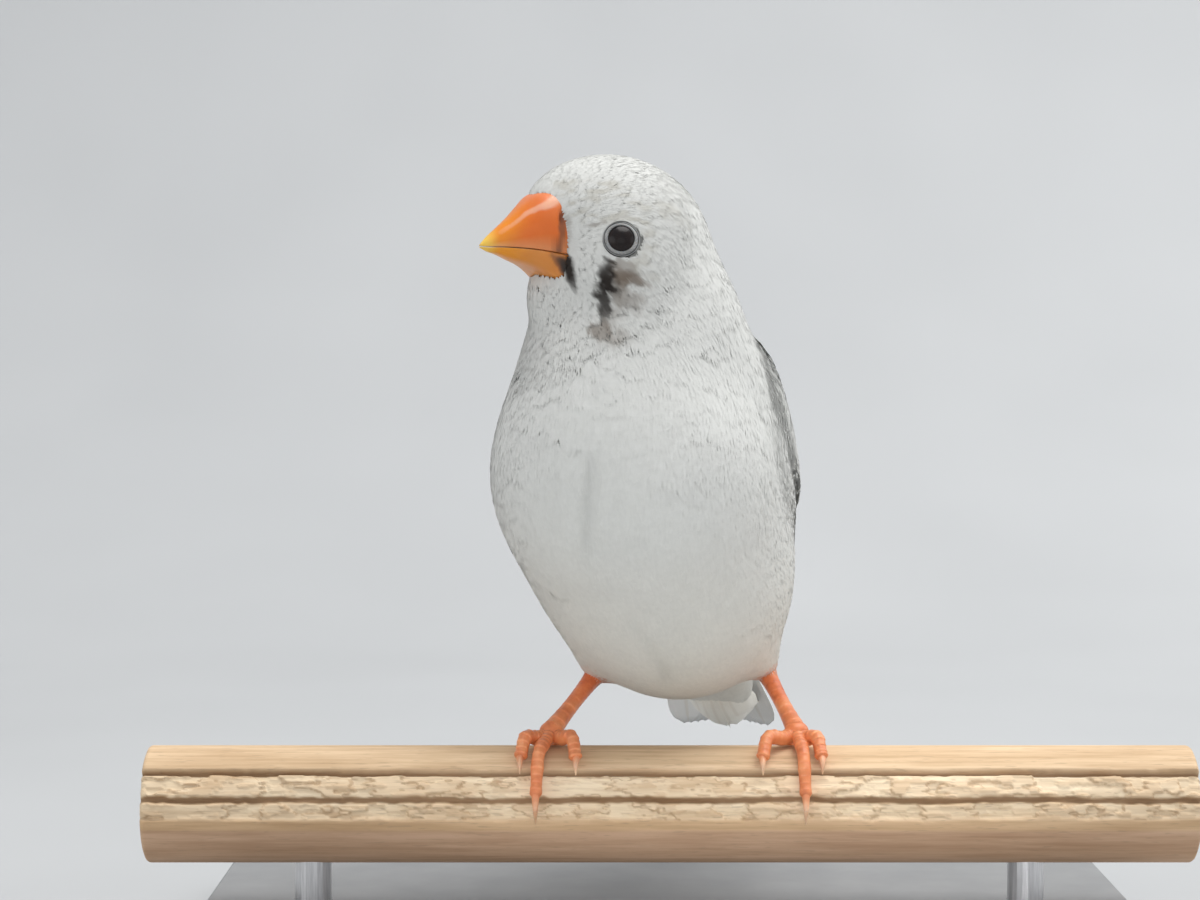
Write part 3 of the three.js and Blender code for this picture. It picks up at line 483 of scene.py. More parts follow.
class Nodes:
    """A material's node tree, with short calls for the nodes that the surfaces here use."""

    def __init__(self, name):
        self.material = bpy.data.materials.new(name)
        self.material.use_nodes = True
        self.tree = self.material.node_tree
        self.shader = self.tree.nodes["Principled BSDF"]

    def add(self, kind, **values):
        node = self.tree.nodes.new(kind)
        for key, value in values.items():
            if key in node.inputs:
                node.inputs[key].default_value = value
            else:
                setattr(node, key, value)
        return node

    def join(self, source, target):
        self.tree.links.new(source, target)

    def feed(self, socket, value):
        """Joins another node's output to a socket, or sets a constant on it."""
        if hasattr(value, "links"):
            self.join(value, socket)
        else:
            socket.default_value = (*value, 1) if socket.type == "RGBA" else value

    def attribute(self, name, output):
        return self.add("ShaderNodeAttribute", attribute_name=name).outputs[output]

    def tone(self):
        return self.attribute("Tone", "Color")

    def place(self):
        return self.add("ShaderNodeTexCoord").outputs["Object"]

    def scaled(self, vector, scale):
        node = self.add("ShaderNodeMapping", Scale=scale)
        self.join(vector, node.inputs["Vector"])
        return node.outputs["Vector"]

    def noise(self, vector, scale, detail=3.0, rough=0.55, warp=0.0):
        node = self.add("ShaderNodeTexNoise", Scale=scale, Detail=detail, Roughness=rough, Distortion=warp)
        self.join(vector, node.inputs["Vector"])
        return node.outputs["Fac"]

    def ramp(self, value, *stops):
        node = self.add("ShaderNodeValToRGB")
        ramp = node.color_ramp
        while len(ramp.elements) < len(stops):
            ramp.elements.new(0.5)
        for element, (position, colour) in zip(ramp.elements, stops):
            element.position = position
            element.color = (*colour, 1)
        self.join(value, node.inputs["Fac"])
        return node.outputs["Color"]

    def blend(self, share, a, b, mode="MIX"):
        node = self.add("ShaderNodeMix", data_type="RGBA", blend_type=mode)
        for key, value in zip((0, 6, 7), (share, a, b)):
            self.feed(node.inputs[key], value)
        return node.outputs[2]

    def times(self, a, b):
        return self.blend(1.0, a, b, "MULTIPLY")

    def maths(self, kind, *values):
        node = self.add("ShaderNodeMath", operation=kind)
        for socket, value in zip(node.inputs, values):
            self.feed(socket, value)
        return node.outputs[0]

    def spread(self, value, low, high, to_low=0.0, to_high=1.0):
        limits = {"From Min": low, "From Max": high, "To Min": to_low, "To Max": to_high}
        node = self.add("ShaderNodeMapRange", **limits)
        self.join(value, node.inputs["Value"])
        return node.outputs["Result"]

    def bump(self, height, strength, distance):
        node = self.add("ShaderNodeBump", Strength=strength, Distance=distance)
        self.join(height, node.inputs["Height"])
        self.join(node.outputs["Normal"], self.shader.inputs["Normal"])

    def set(self, **values):
        for key, value in values.items():
            self.feed(self.shader.inputs[SOCKETS[key]], value)


def plumage_material(name, fine, depth):
    """White feathers with a fine grain over the piece's own tones."""
    nodes = Nodes(name)
    grain = nodes.noise(nodes.place(), fine, 2.0)
    shade = nodes.ramp(grain, (0.3, (0.955, 0.955, 0.95)), (0.7, (1, 1, 1)))
    nodes.set(colour=nodes.times(nodes.tone(), shade), rough=0.78, specular=0.15, sheen=0.07, sheen_rough=0.5)
    nodes.bump(grain, 0.08, depth)
    return nodes.material


COAT = plumage_material("Plumage", 1800.0, 0.00006)
SKIN = plumage_material("Skin", 1500.0, 0.0001)


def vane_material():
    """Flight feathers: fine slanted barbs on both sides of the shaft, read from the vane's own layout."""
    nodes = Nodes("FlightFeather")
    split = nodes.add("ShaderNodeSeparateXYZ")
    nodes.join(nodes.attribute("Layout", "Vector"), split.inputs[0])
    across = nodes.maths("ABSOLUTE", split.outputs["X"])
    slant = nodes.maths("MULTIPLY_ADD", across, -0.9, split.outputs["Y"])
    rough_slant = nodes.maths("MULTIPLY_ADD", nodes.noise(nodes.place(), 900.0), 0.12, slant)
    barbs = nodes.maths("SINE", nodes.maths("MULTIPLY", rough_slant, 26.0))
    shaft = nodes.spread(across, 0.05, 0.13, 1.0, 0.0)
    lines = nodes.ramp(nodes.spread(barbs, -1.0, 1.0), (0.0, (0.83, 0.83, 0.825)), (0.6, (1, 1, 1)))
    barbed = nodes.times(nodes.tone(), lines)
    colour = nodes.blend(nodes.maths("MULTIPLY", shaft, 0.45), barbed, (0.7, 0.66, 0.58))
    nodes.set(colour=colour, rough=0.6, specular=0.3, sheen=0.12)
    nodes.bump(nodes.maths("ADD", nodes.maths("MULTIPLY", barbs, 0.35), shaft), 0.35, 0.00008)
    return nodes.material


VANE = vane_material()


def bill_material():
    nodes = Nodes("Bill")
    place = nodes.place()
    cloud = nodes.ramp(nodes.noise(place, 420.0), (0.3, (0.92, 0.87, 0.85)), (0.7, (1.0, 1.0, 1.0)))
    lines = nodes.noise(nodes.scaled(place, (1.0, 1.0, 4.0)), 1300.0, 2.0, 0.6, 0.4)
    nodes.set(colour=nodes.times(nodes.tone(), cloud), rough=0.42, specular=0.3, coat=0.3, coat_rough=0.16)
    nodes.set(subsurface=0.1, subsurface_scale=0.001, subsurface_radius=(1.0, 0.35, 0.12))
    nodes.bump(lines, 0.12, 0.00005)
    return nodes.material


BILL = bill_material()


def skin_material(name, base, light, dark, rough, bumps, coat=0.0):
    """Scaly or horny skin: a base colour clouded lighter and darker, times the piece's own tones."""
    nodes = Nodes(name)
    place = nodes.place()
    cloud = nodes.ramp(nodes.noise(place, 520.0), (0.28, dark), (0.5, base), (0.74, light))
    nodes.set(colour=nodes.times(cloud, nodes.tone()), rough=rough, specular=0.45, coat=coat, coat_rough=0.25)
    nodes.set(subsurface=0.1, subsurface_scale=0.0008, subsurface_radius=(1.0, 0.4, 0.2))
    nodes.bump(nodes.noise(place, bumps, 2.0), 0.3, 0.00006)
    return nodes.material


LEG_ORANGES = (0.76, 0.235, 0.085), (0.86, 0.34, 0.14), (0.6, 0.16, 0.055)
LEG_SKIN = skin_material("LegSkin", *LEG_ORANGES, 0.42, 2600.0, 0.2)
CLAW = skin_material("Claw", (0.74, 0.5, 0.34), (0.84, 0.64, 0.47), (0.6, 0.36, 0.22), 0.32, 1800.0, 0.3)
LID = skin_material("Lid", (0.33, 0.335, 0.33), (0.45, 0.45, 0.44), (0.2, 0.2, 0.195), 0.75, 5200.0)


def eye_material():
    nodes = Nodes("Eye")
    browns = (0.3, (0.006, 0.005, 0.006)), (0.75, (0.02, 0.012, 0.01))
    colour = nodes.ramp(nodes.noise(nodes.place(), 700.0), *browns)
    nodes.set(colour=colour, rough=0.26, specular=0.2, coat=0.1, coat_rough=0.08)
    return nodes.material


EYE = eye_material()


# The skin: the form sunk by the coat's depth, meshed over a grid and settled on it.
NET_LOW, NET_HIGH = vec(-24, -22, -8), vec(22, 42, 68)


def surface_net(level, cell):
    """Points and quads of a level of the form: one point in each cell that it passes through."""
    counts = np.ceil((NET_HIGH - NET_LOW) / cell).astype(int) + 1
    axes = [NET_LOW[k] + cell * np.arange(counts[k]) for k in range(3)]
    grid = np.stack(np.meshgrid(*axes, indexing="ij"), -1)
    inside = np.concatenate([plumage(slab) for slab in np.array_split(grid, 12)]) < level
    shifts = [(i, j, k) for i in (0, 1) for j in (0, 1) for k in (0, 1)]
    parts = [tuple(slice(s, s + n - 1) for s, n in zip(shift, counts)) for shift in shifts]
    corners = sum(inside[part].astype(int) for part in parts)
    active = (corners > 0) & (corners < 8)
    index = np.full(active.shape, -1)
    index[active] = np.arange(active.sum())
    points = NET_LOW + cell * (np.argwhere(active) + 0.5)
    faces = []
    for axis in range(3):
        step = np.eye(3, dtype=int)[axis]
        first, second = np.roll(np.eye(3, dtype=int), -1 - axis, 0)[:2]
        start = inside[: counts[0] - step[0], : counts[1] - step[1], : counts[2] - step[2]]
        end = inside[step[0] :, step[1] :, step[2] :]
        for leaving in (True, False):
            crossing = np.argwhere((start & ~end) if leaving else (~start & end))
            crossing = crossing[(crossing[:, np.argmax(first)] > 0) & (crossing[:, np.argmax(second)] > 0)]
            loop = [crossing - first - second, crossing - second, crossing, crossing - first]
            faces.append(np.stack([index[tuple(cells.T)] for cells in (loop if leaving else loop[::-1])], -1))
    for _ in range(4):
        points, _ = stepped(points, level)
    return points, np.concatenate(faces)


# The bill's outline at distances ahead of the head's middle, as in the solids: how high its ridge, its mouth
# and its underside lie, its half width, and how square its upper and lower halves are.
BILL_AHEAD = [6, 7.5, 9, 10, 11, 12.5, 14, 15.2, 15.9]
BILL_TOP = [6.4, 6.3, 6, 5.55, 4.7, 3.3, 2.05, 1.05, 0.3]
BILL_MOUTH = [-1.05, -0.8, -0.55, -0.35, -0.2, -0.05, 0.03, 0.05, 0.1]
BILL_BOTTOM = [-4.6, -4.3, -3.1, -2.4, -1.9, -1.35, -0.75, -0.4, -0.05]
BILL_HALF = [4.6, 4.5, 4.15, 3.7, 3.1, 2.2, 1.3, 0.6, 0.15]
UPPER_SQUARENESS = [3.1, 3.1, 3.1, 3, 2.6, 2.3, 2.1, 2, 2]
LOWER_SQUARENESS = [4, 4, 3.4, 3, 2.7, 2.4, 2.2, 2, 2]
NOSTRIL = {"ahead": 8.4, "over": 3.0, "length": 0.24, "height": 0.7, "depth": 0.4}
BILL_ROWS, BILL_COLUMNS = 60, 72


def curve_through(xs, ys, at):
    """A smooth curve through the values of a profile."""
    xs, ys = np.asarray(xs, float), np.asarray(ys, float)
    slopes = np.gradient(ys, xs)
    i = np.clip(np.searchsorted(xs, at) - 1, 0, len(xs) - 2)
    gap = xs[i + 1] - xs[i]
    t = np.clip((at - xs[i]) / gap, 0, 1)
    start = ys[i] * (1 + 2 * t) * (1 - t) ** 2 + slopes[i] * gap * t * (1 - t) ** 2
    return start + ys[i + 1] * t * t * (3 - 2 * t) + slopes[i + 1] * gap * t * t * (t - 1)


def bill_outline(at):
    """The heights of the ridge, mouth and underside and the half width, at distances ahead."""
    return [curve_through(BILL_AHEAD, row, at) for row in (BILL_TOP, BILL_MOUTH, BILL_BOTTOM, BILL_HALF)]


def squareness(upper, at):
    return curve_through(BILL_AHEAD, UPPER_SQUARENESS if upper else LOWER_SQUARENESS, at)


def spring_line(top, mouth):
    """Where the upper half's arch starts, a little over the mouth."""
    return 0.7 * mouth + 0.3 * top


def inside_bill(points, grown=0.0):
    """Whether points lie within the bill's outline, carried back into the head."""
    side, along, over = np.moveaxis(HEAD.local(points), -1, 0)
    at = np.clip(along, BILL_AHEAD[0], BILL_AHEAD[-1])
    top, mouth, bottom, half = bill_outline(at)
    spring = spring_line(top, mouth)
    upper, lower = squareness(True, at), squareness(False, at)
    aside = np.abs(side) / (half + grown)
    above = aside**upper + (np.maximum(over - spring, 0) / (top + grown - spring)) ** upper
    below = aside**lower + (np.maximum(mouth - over, 0) / (mouth - bottom + grown)) ** lower
    return (along > 3.5) & (np.where(over > mouth, above, below) < 1)


def bill_grid(upper):
    """Rings along one half of the bill: an arch over its outline and a few points along the mouth."""
    at = 6 + 9.9 * np.linspace(0, 1, BILL_ROWS)[:, None] ** 0.9
    top, mouth, bottom, half = bill_outline(at)
    turn = np.pi * np.linspace(0, 1, BILL_COLUMNS)[None]
    cosine, sine = np.cos(turn), np.sin(turn)
    power = 2 / squareness(upper, at)
    bow, lift = np.sign(cosine) * np.abs(cosine) ** power, np.abs(sine) ** power
    if upper:
        spring = spring_line(top, mouth)
        side, over = half * bow, spring + (top - spring) * lift
        skirt = np.array([[-0.97, -0.93, -0.3, 0.3, 0.93, 0.97]]) * half
        hem = np.array([[0.45, 0.0, 0.25, 0.25, 0.0, 0.45]]) * np.minimum(0.35, half * 0.2)
        seam = mouth + 0.05 + hem
    else:
        spring = mouth - 0.05
        side, over = 0.94 * half * bow, spring + (bottom - spring) * lift
        skirt = np.array([[-0.8, -0.3, 0.3, 0.8]]) * half
        seam = spring + 0 * skirt
    side = np.concatenate([side, skirt], 1)
    over = np.concatenate([over, seam], 1)
    along = at + 0 * side
    return HEAD.centre + np.stack([side, along, over], -1) @ HEAD.axes, side, along, over


BILL_COLOURS = {
    "orange": (0.78, 0.165, 0.016),
    "coral": (0.85, 0.27, 0.11),
    "tan": (0.7, 0.26, 0.05),
    "amber": (0.87, 0.33, 0.015),
    # The pale rose of a painted highlight along the ridge.
    "rose": (0.96, 0.62, 0.46),
    "yellow": (0.93, 0.6, 0.1),
    "umber": (0.2, 0.075, 0.035),
    "black": (0.035, 0.026, 0.02),
    "dark_red": (0.3, 0.045, 0.02),
    "hem": (0.9, 0.55, 0.28),
}
BILL_MARKS = {
    True: [
        mark("umber", 0.8, (563, 210, 0.3, 0.5), (562, 222, 0.45, 0.8), (563, 234, 0.5, 0.8),
            (560, 246, 0.6, 0.85), (556, 254, 0.6, 0.85)),
        # A pale rose streak along the ridge, from its base towards the tip: a painted highlight.
        mark("rose", 0.5, (556, 199, 0.6, 0.55), (548, 204, 0.55, 0.6), (536, 208, 0.4, 0.5),
            (526, 214, 0.35, 0.45), (515, 222, 0.3, 0.3), (502, 232, 0.25, 0.15)),
    ],
    False: [
        mark("umber", 0.9, (556, 258, 0.6, 0.7), (563, 268, 0.6, 0.8), (569, 280, 0.5, 0.8),
            (574, 287, 0.4, 0.7)),
        mark("black", 0.6, (563, 259, 0.65, 0.9), (568, 268, 0.75, 1.0), (572, 278, 0.7, 1.0),
            (575, 284, 0.55, 0.8)),
    ],
}


def upper_bill_colour(base, pit, side, along, over):
    """Orange with a coral ridge, an amber tip, dark red nostrils and a pale line along the mouth."""
    ridge = smooth(2.5, 5.5, over) * smooth(12.5, 8.5, along)
    colour = mix(base, BILL_COLOURS["coral"], 0.75 * ridge)
    colour = mix(colour, BILL_COLOURS["amber"], 0.6 * smooth(11.5, 14.0, along + 0.4 * (over - 1)))
    colour = mix(colour, BILL_COLOURS["dark_red"], 0.85 * pit)
    mouth, half = (curve_through(BILL_AHEAD, row, along) for row in (BILL_MOUTH, BILL_HALF))
    line = np.exp(-(((over - mouth - 0.12) / 0.14) ** 2)) * smooth(0.5, 0.8, np.abs(side) / half)
    return mix(colour, BILL_COLOURS["hem"], 0.5 * line)


def bill_piece(name, upper):
    points, side, along, over = bill_grid(upper)
    base = np.broadcast_to(BILL_COLOURS["orange" if upper else "tan"], points.shape)
    if upper:
        ahead = (along - NOSTRIL["ahead"]) / NOSTRIL["length"]
        above = (over - NOSTRIL["over"]) / NOSTRIL["height"]
        pit = np.exp(-(ahead**2 + above**2)) * (np.abs(side) > 2)
        points = points - NOSTRIL["depth"] * pit[..., None] * np.sign(side)[..., None] * HEAD.side
        colour = upper_bill_colour(base, pit, side, along, over)
    else:
        colour = mix(base, BILL_COLOURS["amber"], smooth(10.5, 14.0, along))
    colour = mix(colour, BILL_COLOURS["yellow"], smooth(13.9, 15.5, along))
    folded = head_sides(points)
    shown, facing = pixel_of(points), side > 0.3
    for mark in BILL_MARKS[upper]:
        misses = [np.where(facing, apart(shown, np.array(pixel)), np.inf) for pixel in mark["trail"]]
        spots = np.array([folded.reshape(-1, 3)[np.argmin(miss)] for miss in misses])
        colour = mix(colour, BILL_COLOURS[mark["tone"]], marked(folded, points, mark, spots))
    closed, triangles = capped(points, flipped=not upper)
    tones = np.concatenate([colour.reshape(-1, 3), colour[0].mean(0)[None], colour[-1].mean(0)[None]])
    add_piece(f"{name}_horn", closed, triangles, BILL, tones, replaced=[name])


bill_piece("upper_bill", True)
bill_piece("lower_bill", False)


# Eyes: a dark wet ball in a ring of pale granular lid, with a thin dark line outside it.
EYE_RADIUS = 2.1
EYE_SUNK = 1.5
EYE_FACING = vec(1, 0.476, 0.238)
EYE_OPENING = math.sqrt(EYE_RADIUS**2 - EYE_SUNK**2)
EYE_ROWS, EYE_COLUMNS = 28, 48
LID_ROWS, LID_COLUMNS = 30, 160


def eye_frame(side):
    inside = HEAD.place(0, -0.4, -1.2)
    outward = unit(EYE_FACING * vec(side, 1, 1)) @ HEAD.axes
    surface = inside + outward * reach(inside[None], outward[None])[0]
    return surface, outward


EYES = {side: eye_frame(side) for side in (RIGHT, LEFT)}


def revolved(profile, centre, axis):
    """A grid of points: rows of radius and height, with a column for each even turn round an axis."""
    across = unit(np.cross(axis, UP))
    rays = rays_round(ring_turns(profile.shape[1]), across, np.cross(across, axis))
    radius, height = profile[..., 0], profile[..., 1]
    return centre + radius[..., None] * rays + height[..., None] * axis


def eyeball_piece(word, surface, outward):
    bend = np.radians(np.linspace(2, 92, EYE_ROWS))[:, None] + np.zeros((1, EYE_COLUMNS))
    profile = np.stack([EYE_RADIUS * np.sin(bend), EYE_RADIUS * np.cos(bend) - EYE_SUNK], -1)
    ball = revolved(profile, surface, outward).reshape(-1, 3)
    points = np.concatenate([ball, (surface + outward * (EYE_RADIUS - EYE_SUNK))[None]])
    quads = grid_faces(EYE_ROWS, EYE_COLUMNS, closed=True)
    triangles = np.concatenate([halves(quads), ring_fan(len(ball), EYE_COLUMNS)])
    add_piece(f"eyeball_{word}", points, triangles[:, ::-1], EYE, replaced=[f"eye_{word}"])


def lid_piece(word, surface, outward):
    """The lid's ring, from the ball's edge over a grained bead and a dark crease to the feathers."""
    share = np.linspace(0, 1, LID_ROWS)[:, None] + np.zeros((1, LID_COLUMNS))
    turn = ring_turns(LID_COLUMNS)[None] + np.zeros((LID_ROWS, 1))
    bead = np.clip(share / 0.62, 0, 1)
    radius = EYE_OPENING - 0.12 + 0.55 * share + 0.07 * np.sin(2 * turn + 0.6) * share
    grains = np.sin(turn * 27 + 2.4 * np.floor(bead * 4)) * np.sin(bead * 4 * np.pi) ** 2 * (bead < 1)
    crease = np.exp(-(((share - 0.74) / 0.07) ** 2))
    height = 0.1 + 0.15 * np.sin(bead * np.pi) ** 0.7 + 0.025 * grains - 0.12 * crease - 0.24 * share
    lid = revolved(np.stack([radius, height], -1), surface, outward).reshape(-1, 3)
    tone = (0.92 + 0.3 * grains) * (1 - 0.72 * crease) * (1 - 0.75 * np.exp(-((share / 0.13) ** 2)))
    colours = np.repeat(np.clip(tone, 0.04, 1.4).reshape(-1, 1), 3, 1)
    quads = grid_faces(LID_ROWS, LID_COLUMNS, closed=True)[:, ::-1]
    add_piece(f"lid_{word}", lid, quads, LID, colours)


for side, place in EYES.items():
    eyeball_piece(SIDES[side], *place)
    lid_piece(SIDES[side], *place)


# The spine that the coat is laid out along, from the tail's coverts to the crown.
SPINE_POINTS = np.array([
    TAIL.place(0, -20, 0.3),
    TAIL.place(0, -12, 0.4),
    BODY.place(0.3, -19, 4),
    BODY.place(0, -8, 0.5),
    BODY.place(0, 6, 0),
    vec(-2.6, -1.5, 43),
    HEAD.place(0, -0.8, -2),
    HEAD.place(0, -0.9, 1.5),
])


def spine(shares):
    """Points of the spine at shares of its length, and the way that it runs there."""
    knots = with_ends(SPINE_POINTS)
    t = np.linspace(0, 1, 24, endpoint=False)[:, None]
    runs = [between(*knots[i - 1 : i + 3], t) for i in range(1, len(knots) - 2)]
    fine = np.concatenate([*runs, knots[-2:-1]])
    lengths = lengths_along(fine)
    lengths /= lengths[-1]
    ahead = points_at(shares + 0.01, lengths, fine) - points_at(shares - 0.01, lengths, fine)
    return points_at(shares, lengths, fine), unit(ahead)


ROWS, TURNS, POLE_ROWS = 150, 120, 26


def coat_grid():
    """Surface points over the whole form, in rings round the spine that close over its two ends."""
    poles = np.radians(np.linspace(0, 89.5, POLE_ROWS + 1)[1:])
    shares = np.concatenate([np.zeros(POLE_ROWS), np.linspace(0.0, 1, ROWS), np.ones(POLE_ROWS)])
    tilts = np.concatenate([-poles[::-1], np.zeros(ROWS), poles])
    centres, ahead = spine(shares)
    aside = unit(vec(1, 0, 0) - ahead * ahead[:, :1])
    across = np.cross(ahead, aside)
    turn = 2 * np.pi * np.arange(TURNS + 1) / TURNS
    flat = rays_round(turn[None], aside[:, None], across[:, None])
    rays = flat * np.cos(tilts)[:, None, None] + ahead[:, None] * np.sin(tilts)[:, None, None]
    origins = np.broadcast_to(centres[:, None], rays.shape)
    return origins + rays * reach(origins, rays)[..., None], shares


GRID, GRID_SHARES = coat_grid()


def thinned(points, spacing):
    """The numbers of the points that lie no nearer to an earlier one than their mean spacing."""
    cells, kept = {}, []
    places = np.floor(points / float(spacing.max())).astype(int).tolist()
    listed, gaps = points.tolist(), spacing.tolist()
    ring = [(i, j, k) for i in (-1, 0, 1) for j in (-1, 0, 1) for k in (-1, 0, 1)]
    for n, (x, y, z) in enumerate(places):
        px, py, pz = listed[n]
        near = (m for i, j, k in ring for m in cells.get((x + i, y + j, z + k), ()))
        for m in near:
            qx, qy, qz = listed[m]
            room = 0.5 * (gaps[n] + gaps[m])
            if (px - qx) ** 2 + (py - qy) ** 2 + (pz - qz) ** 2 < room * room:
                break
        else:
            kept.append(n)
            cells.setdefault((x, y, z), []).append(n)
    return np.array(kept)


def spread_roots(count, spacing_at, rng):
    """Roots spread over the form by area and thinned: points, normals, UVs and shares of the spine."""
    a, b, c, d = GRID[:-1, :-1], GRID[1:, :-1], GRID[1:, 1:], GRID[:-1, 1:]
    area = np.linalg.norm(np.cross(c - a, d - b), axis=-1) / spacing_at((a + c) / 2) ** 2
    chosen = rng.choice(area.size, count, p=(area / area.sum()).ravel())
    row, column = np.unravel_index(chosen, area.shape)
    u, v = rng.random((2, count))
    weights = {0: (1 - u, 1 - v), 1: (u, v)}
    corners = [(i, j) for i in (0, 1) for j in (0, 1)]
    near = [GRID[row + i, column + j] * weights[i][0][:, None] * weights[j][1][:, None] for i, j in corners]
    points, normals = settle(sum(near), 0.0, 2)
    kept = thinned(points, spacing_at(points))
    uv = np.stack([(column + v) / TURNS, (row + u) / (ROWS + 2 * POLE_ROWS)], -1) * 0.96 + 0.02
    share = GRID_SHARES[row] * (1 - u) + GRID_SHARES[row + 1] * u
    return points[kept], normals[kept], uv[kept], share[kept]


BILL_ROOT = HEAD.place(0, 7.5, 1.6)


def lie_of_coat(points, normals, shares):
    """The way the feathers point: back from the bill over the head, then down the neck and body."""
    _, ahead = spine(np.clip(shares, 0.01, 0.99))
    distance = apart(points, BILL_ROOT)
    head_part = (1 - smooth(9, 22, distance))[:, None]
    down = smooth(7, 17, distance)[:, None]
    lie = head_part * unit(points - BILL_ROOT) - down * ahead
    return unit(lie - normals * (lie * normals).sum(-1, keepdims=True))


def face_share(points):
    """1 on the face near the bill and eyes, falling to 0 on the neck and body."""
    return 1 - smooth(7, 19, apart(points, HEAD.place(0, 7, 0.5)))


def clear_of_eyes(points):
    """Pushes points that would cross an eye out to the rim of its lid."""
    for surface, outward in EYES.values():
        offset = points - surface
        height = (offset @ outward)[..., None]
        flat = offset - height * outward
        radius = np.linalg.norm(flat, axis=-1, keepdims=True)
        rim = EYE_OPENING + 0.48
        crossing = (radius < rim) & (np.abs(height) < 3)
        points = np.where(crossing, points + flat * (rim / np.maximum(radius, 0.3) - 1), points)
    return points


# A barb at four steps from its root to its tip: how far along it they lie, how far raised and how wide it is.
BARB_STEPS = np.array([0.0, 0.38, 0.74, 1.0])
BARB_RISE = np.array([0, 0.8, 1, 0.3])
BARB_WIDTH = np.array([0.7, 1.0, 0.8, 0.0])
# Its strip has two points at each step but the last: their triangles, their shades and their steps.
BARB_TRIANGLES = np.array([[0, 3, 1], [0, 2, 3], [2, 5, 3], [2, 4, 5], [4, 6, 5]])
BARB_SHADE = np.array([0.96, 0.96, 0.99, 0.99, 1, 1, 1.01])
BARB_POINTS = len(BARB_SHADE)
POINT_STEPS = np.repeat(BARB_STEPS, 2)[:BARB_POINTS]
# Half the size of a tuft's patch in the UV map.
PATCH = 0.0014


def each(values):
    """One value for every feather, ready to be set against its barbs and their steps."""
    return values[:, None, None]


def tilted(up, points, lie, across, length):
    """The form's normals, tilted as the wings' relief slopes under the middle of each feather."""
    middles = points + 0.5 * length[:, None] * lie
    ahead, beside = (wing_relief(middles + 0.5 * v) - wing_relief(middles - 0.5 * v) for v in (lie, across))
    slope = ahead[:, None] * lie + beside[:, None] * across
    return unit(up - each(slope))


def tufts(points, normals, uvs, lie, length, width, sunk, barbs, rng, lift=0.05, thick=0.3, relief=None):
    """Body feathers, each a fan of tapered barbs along the form: points, faces, UVs and normals."""
    count = len(points)
    across = np.cross(normals, lie)
    a = np.linspace(-1, 1, barbs)[None] + rng.uniform(-0.7, 0.7, (count, barbs)) / barbs
    a = np.clip(a, -1, 1)
    tip = length[:, None] * (0.52 + 0.48 * np.sqrt(np.maximum(0, 1 - a**2)))
    tip = tip * rng.uniform(0.88, 1.06, (count, barbs))
    root = 0.12 * length[:, None] * np.abs(a)
    t = BARB_STEPS[None, None]
    forward = root[..., None] + (tip - root)[..., None] * t
    sideways = a[..., None] * each(width) * (0.2 + 0.8 * t**1.1)
    sideways = sideways + rng.normal(0, 0.04, (count, barbs, 1)) * t**2 * each(width)
    high = -each(sunk) * (1 - np.minimum(1, t / 0.5)) ** 1.3
    high = high + lift * BARB_RISE * rng.uniform(0.5, 1.4, (count, barbs, 1))
    high = high - 0.06 * a[..., None] ** 2 * t
    half = 0.5 * thick * BARB_WIDTH[None, None] * rng.uniform(0.75, 1.25, (count, barbs, 1))
    half = half * each(width / 1.2) ** 0.4
    base = each(points) + forward[..., None] * each(lie) + sideways[..., None] * each(across)
    if relief is not None:
        high = high + relief(base) * np.minimum(1, 0.4 + 1.2 * t)
    middle, up = settle(base, high - COAT_DROP, 1)
    edge = unit(np.cross(up, np.gradient(middle, axis=2))) * half[..., None]
    left, right = clear_of_eyes(middle - edge), clear_of_eyes(middle + edge)
    pairs = np.stack([left[:, :, :3], right[:, :, :3]], 3).reshape(count, barbs, 6, 3)
    strip = np.concatenate([pairs, right[:, :, 3:]], 2)
    faces = (each(np.arange(count * barbs)) * BARB_POINTS + BARB_TRIANGLES).reshape(-1, 3)
    patch_u = np.repeat(a[..., None], BARB_POINTS, 2) * PATCH
    patch_v = POINT_STEPS[None, None] * (2 * PATCH) - PATCH
    uv = each(uvs) + np.stack([patch_u, patch_v + 0 * patch_u], -1)
    if relief is not None:
        up = tilted(up, points, lie, across, length)
    ups = np.concatenate([np.repeat(up[:, :, :3], 2, 2), up[:, :, 3:]], 2)
    return strip.reshape(-1, 3), faces, uv.reshape(-1, 2), ups.reshape(-1, 3)


# Where the breast's feathers part, as trails of the photo's pixels.
KEEL_TRAIL = [(591, 464), (592, 480), (590, 505), (589, 528), (590, 547)]
BELLY_TRAIL = [(634, 626), (648, 640), (660, 657), (670, 677)]
FURROWS = [
    {"trail": KEEL_TRAIL, "depth": 0.5, "width": 0.78},
    {"trail": BELLY_TRAIL, "depth": 0.32, "width": 0.55},
]


def breast_relief(points):
    """How much the feathers dip into the partings, and swell beside them towards the bird's left."""
    relief = np.zeros(points.shape[:-1])
    for furrow in FURROWS:
        spots = seen_trail(furrow["trail"])
        fine = np.concatenate([np.linspace(a, b, 6) for a, b in zip(spots[:-1], spots[1:])])
        away = np.min([apart(points, spot) for spot in fine], 0) / furrow["width"]
        swell = np.exp(-(((away - 2.2) / 1.3) ** 2)) * (points[..., 0] > fine[:, 0].mean())
        relief += 0.35 * furrow["depth"] * swell - furrow["depth"] * np.exp(-(away**2))
    return relief


# The folded wings' outline: distances back, and the turns of its upper and lower edges.
WING_BACK = [0, 1.5, 5, 10, 17, 25, 32, 39, 44, 48]
WING_UPPER = [56, 47, 33, 21, 14, 10, 8, 8, 10, 20]
WING_LOWER = [76, 87, 97, 101, 97, 86, 73, 62, 54, 38]
COVERTS_END = 15


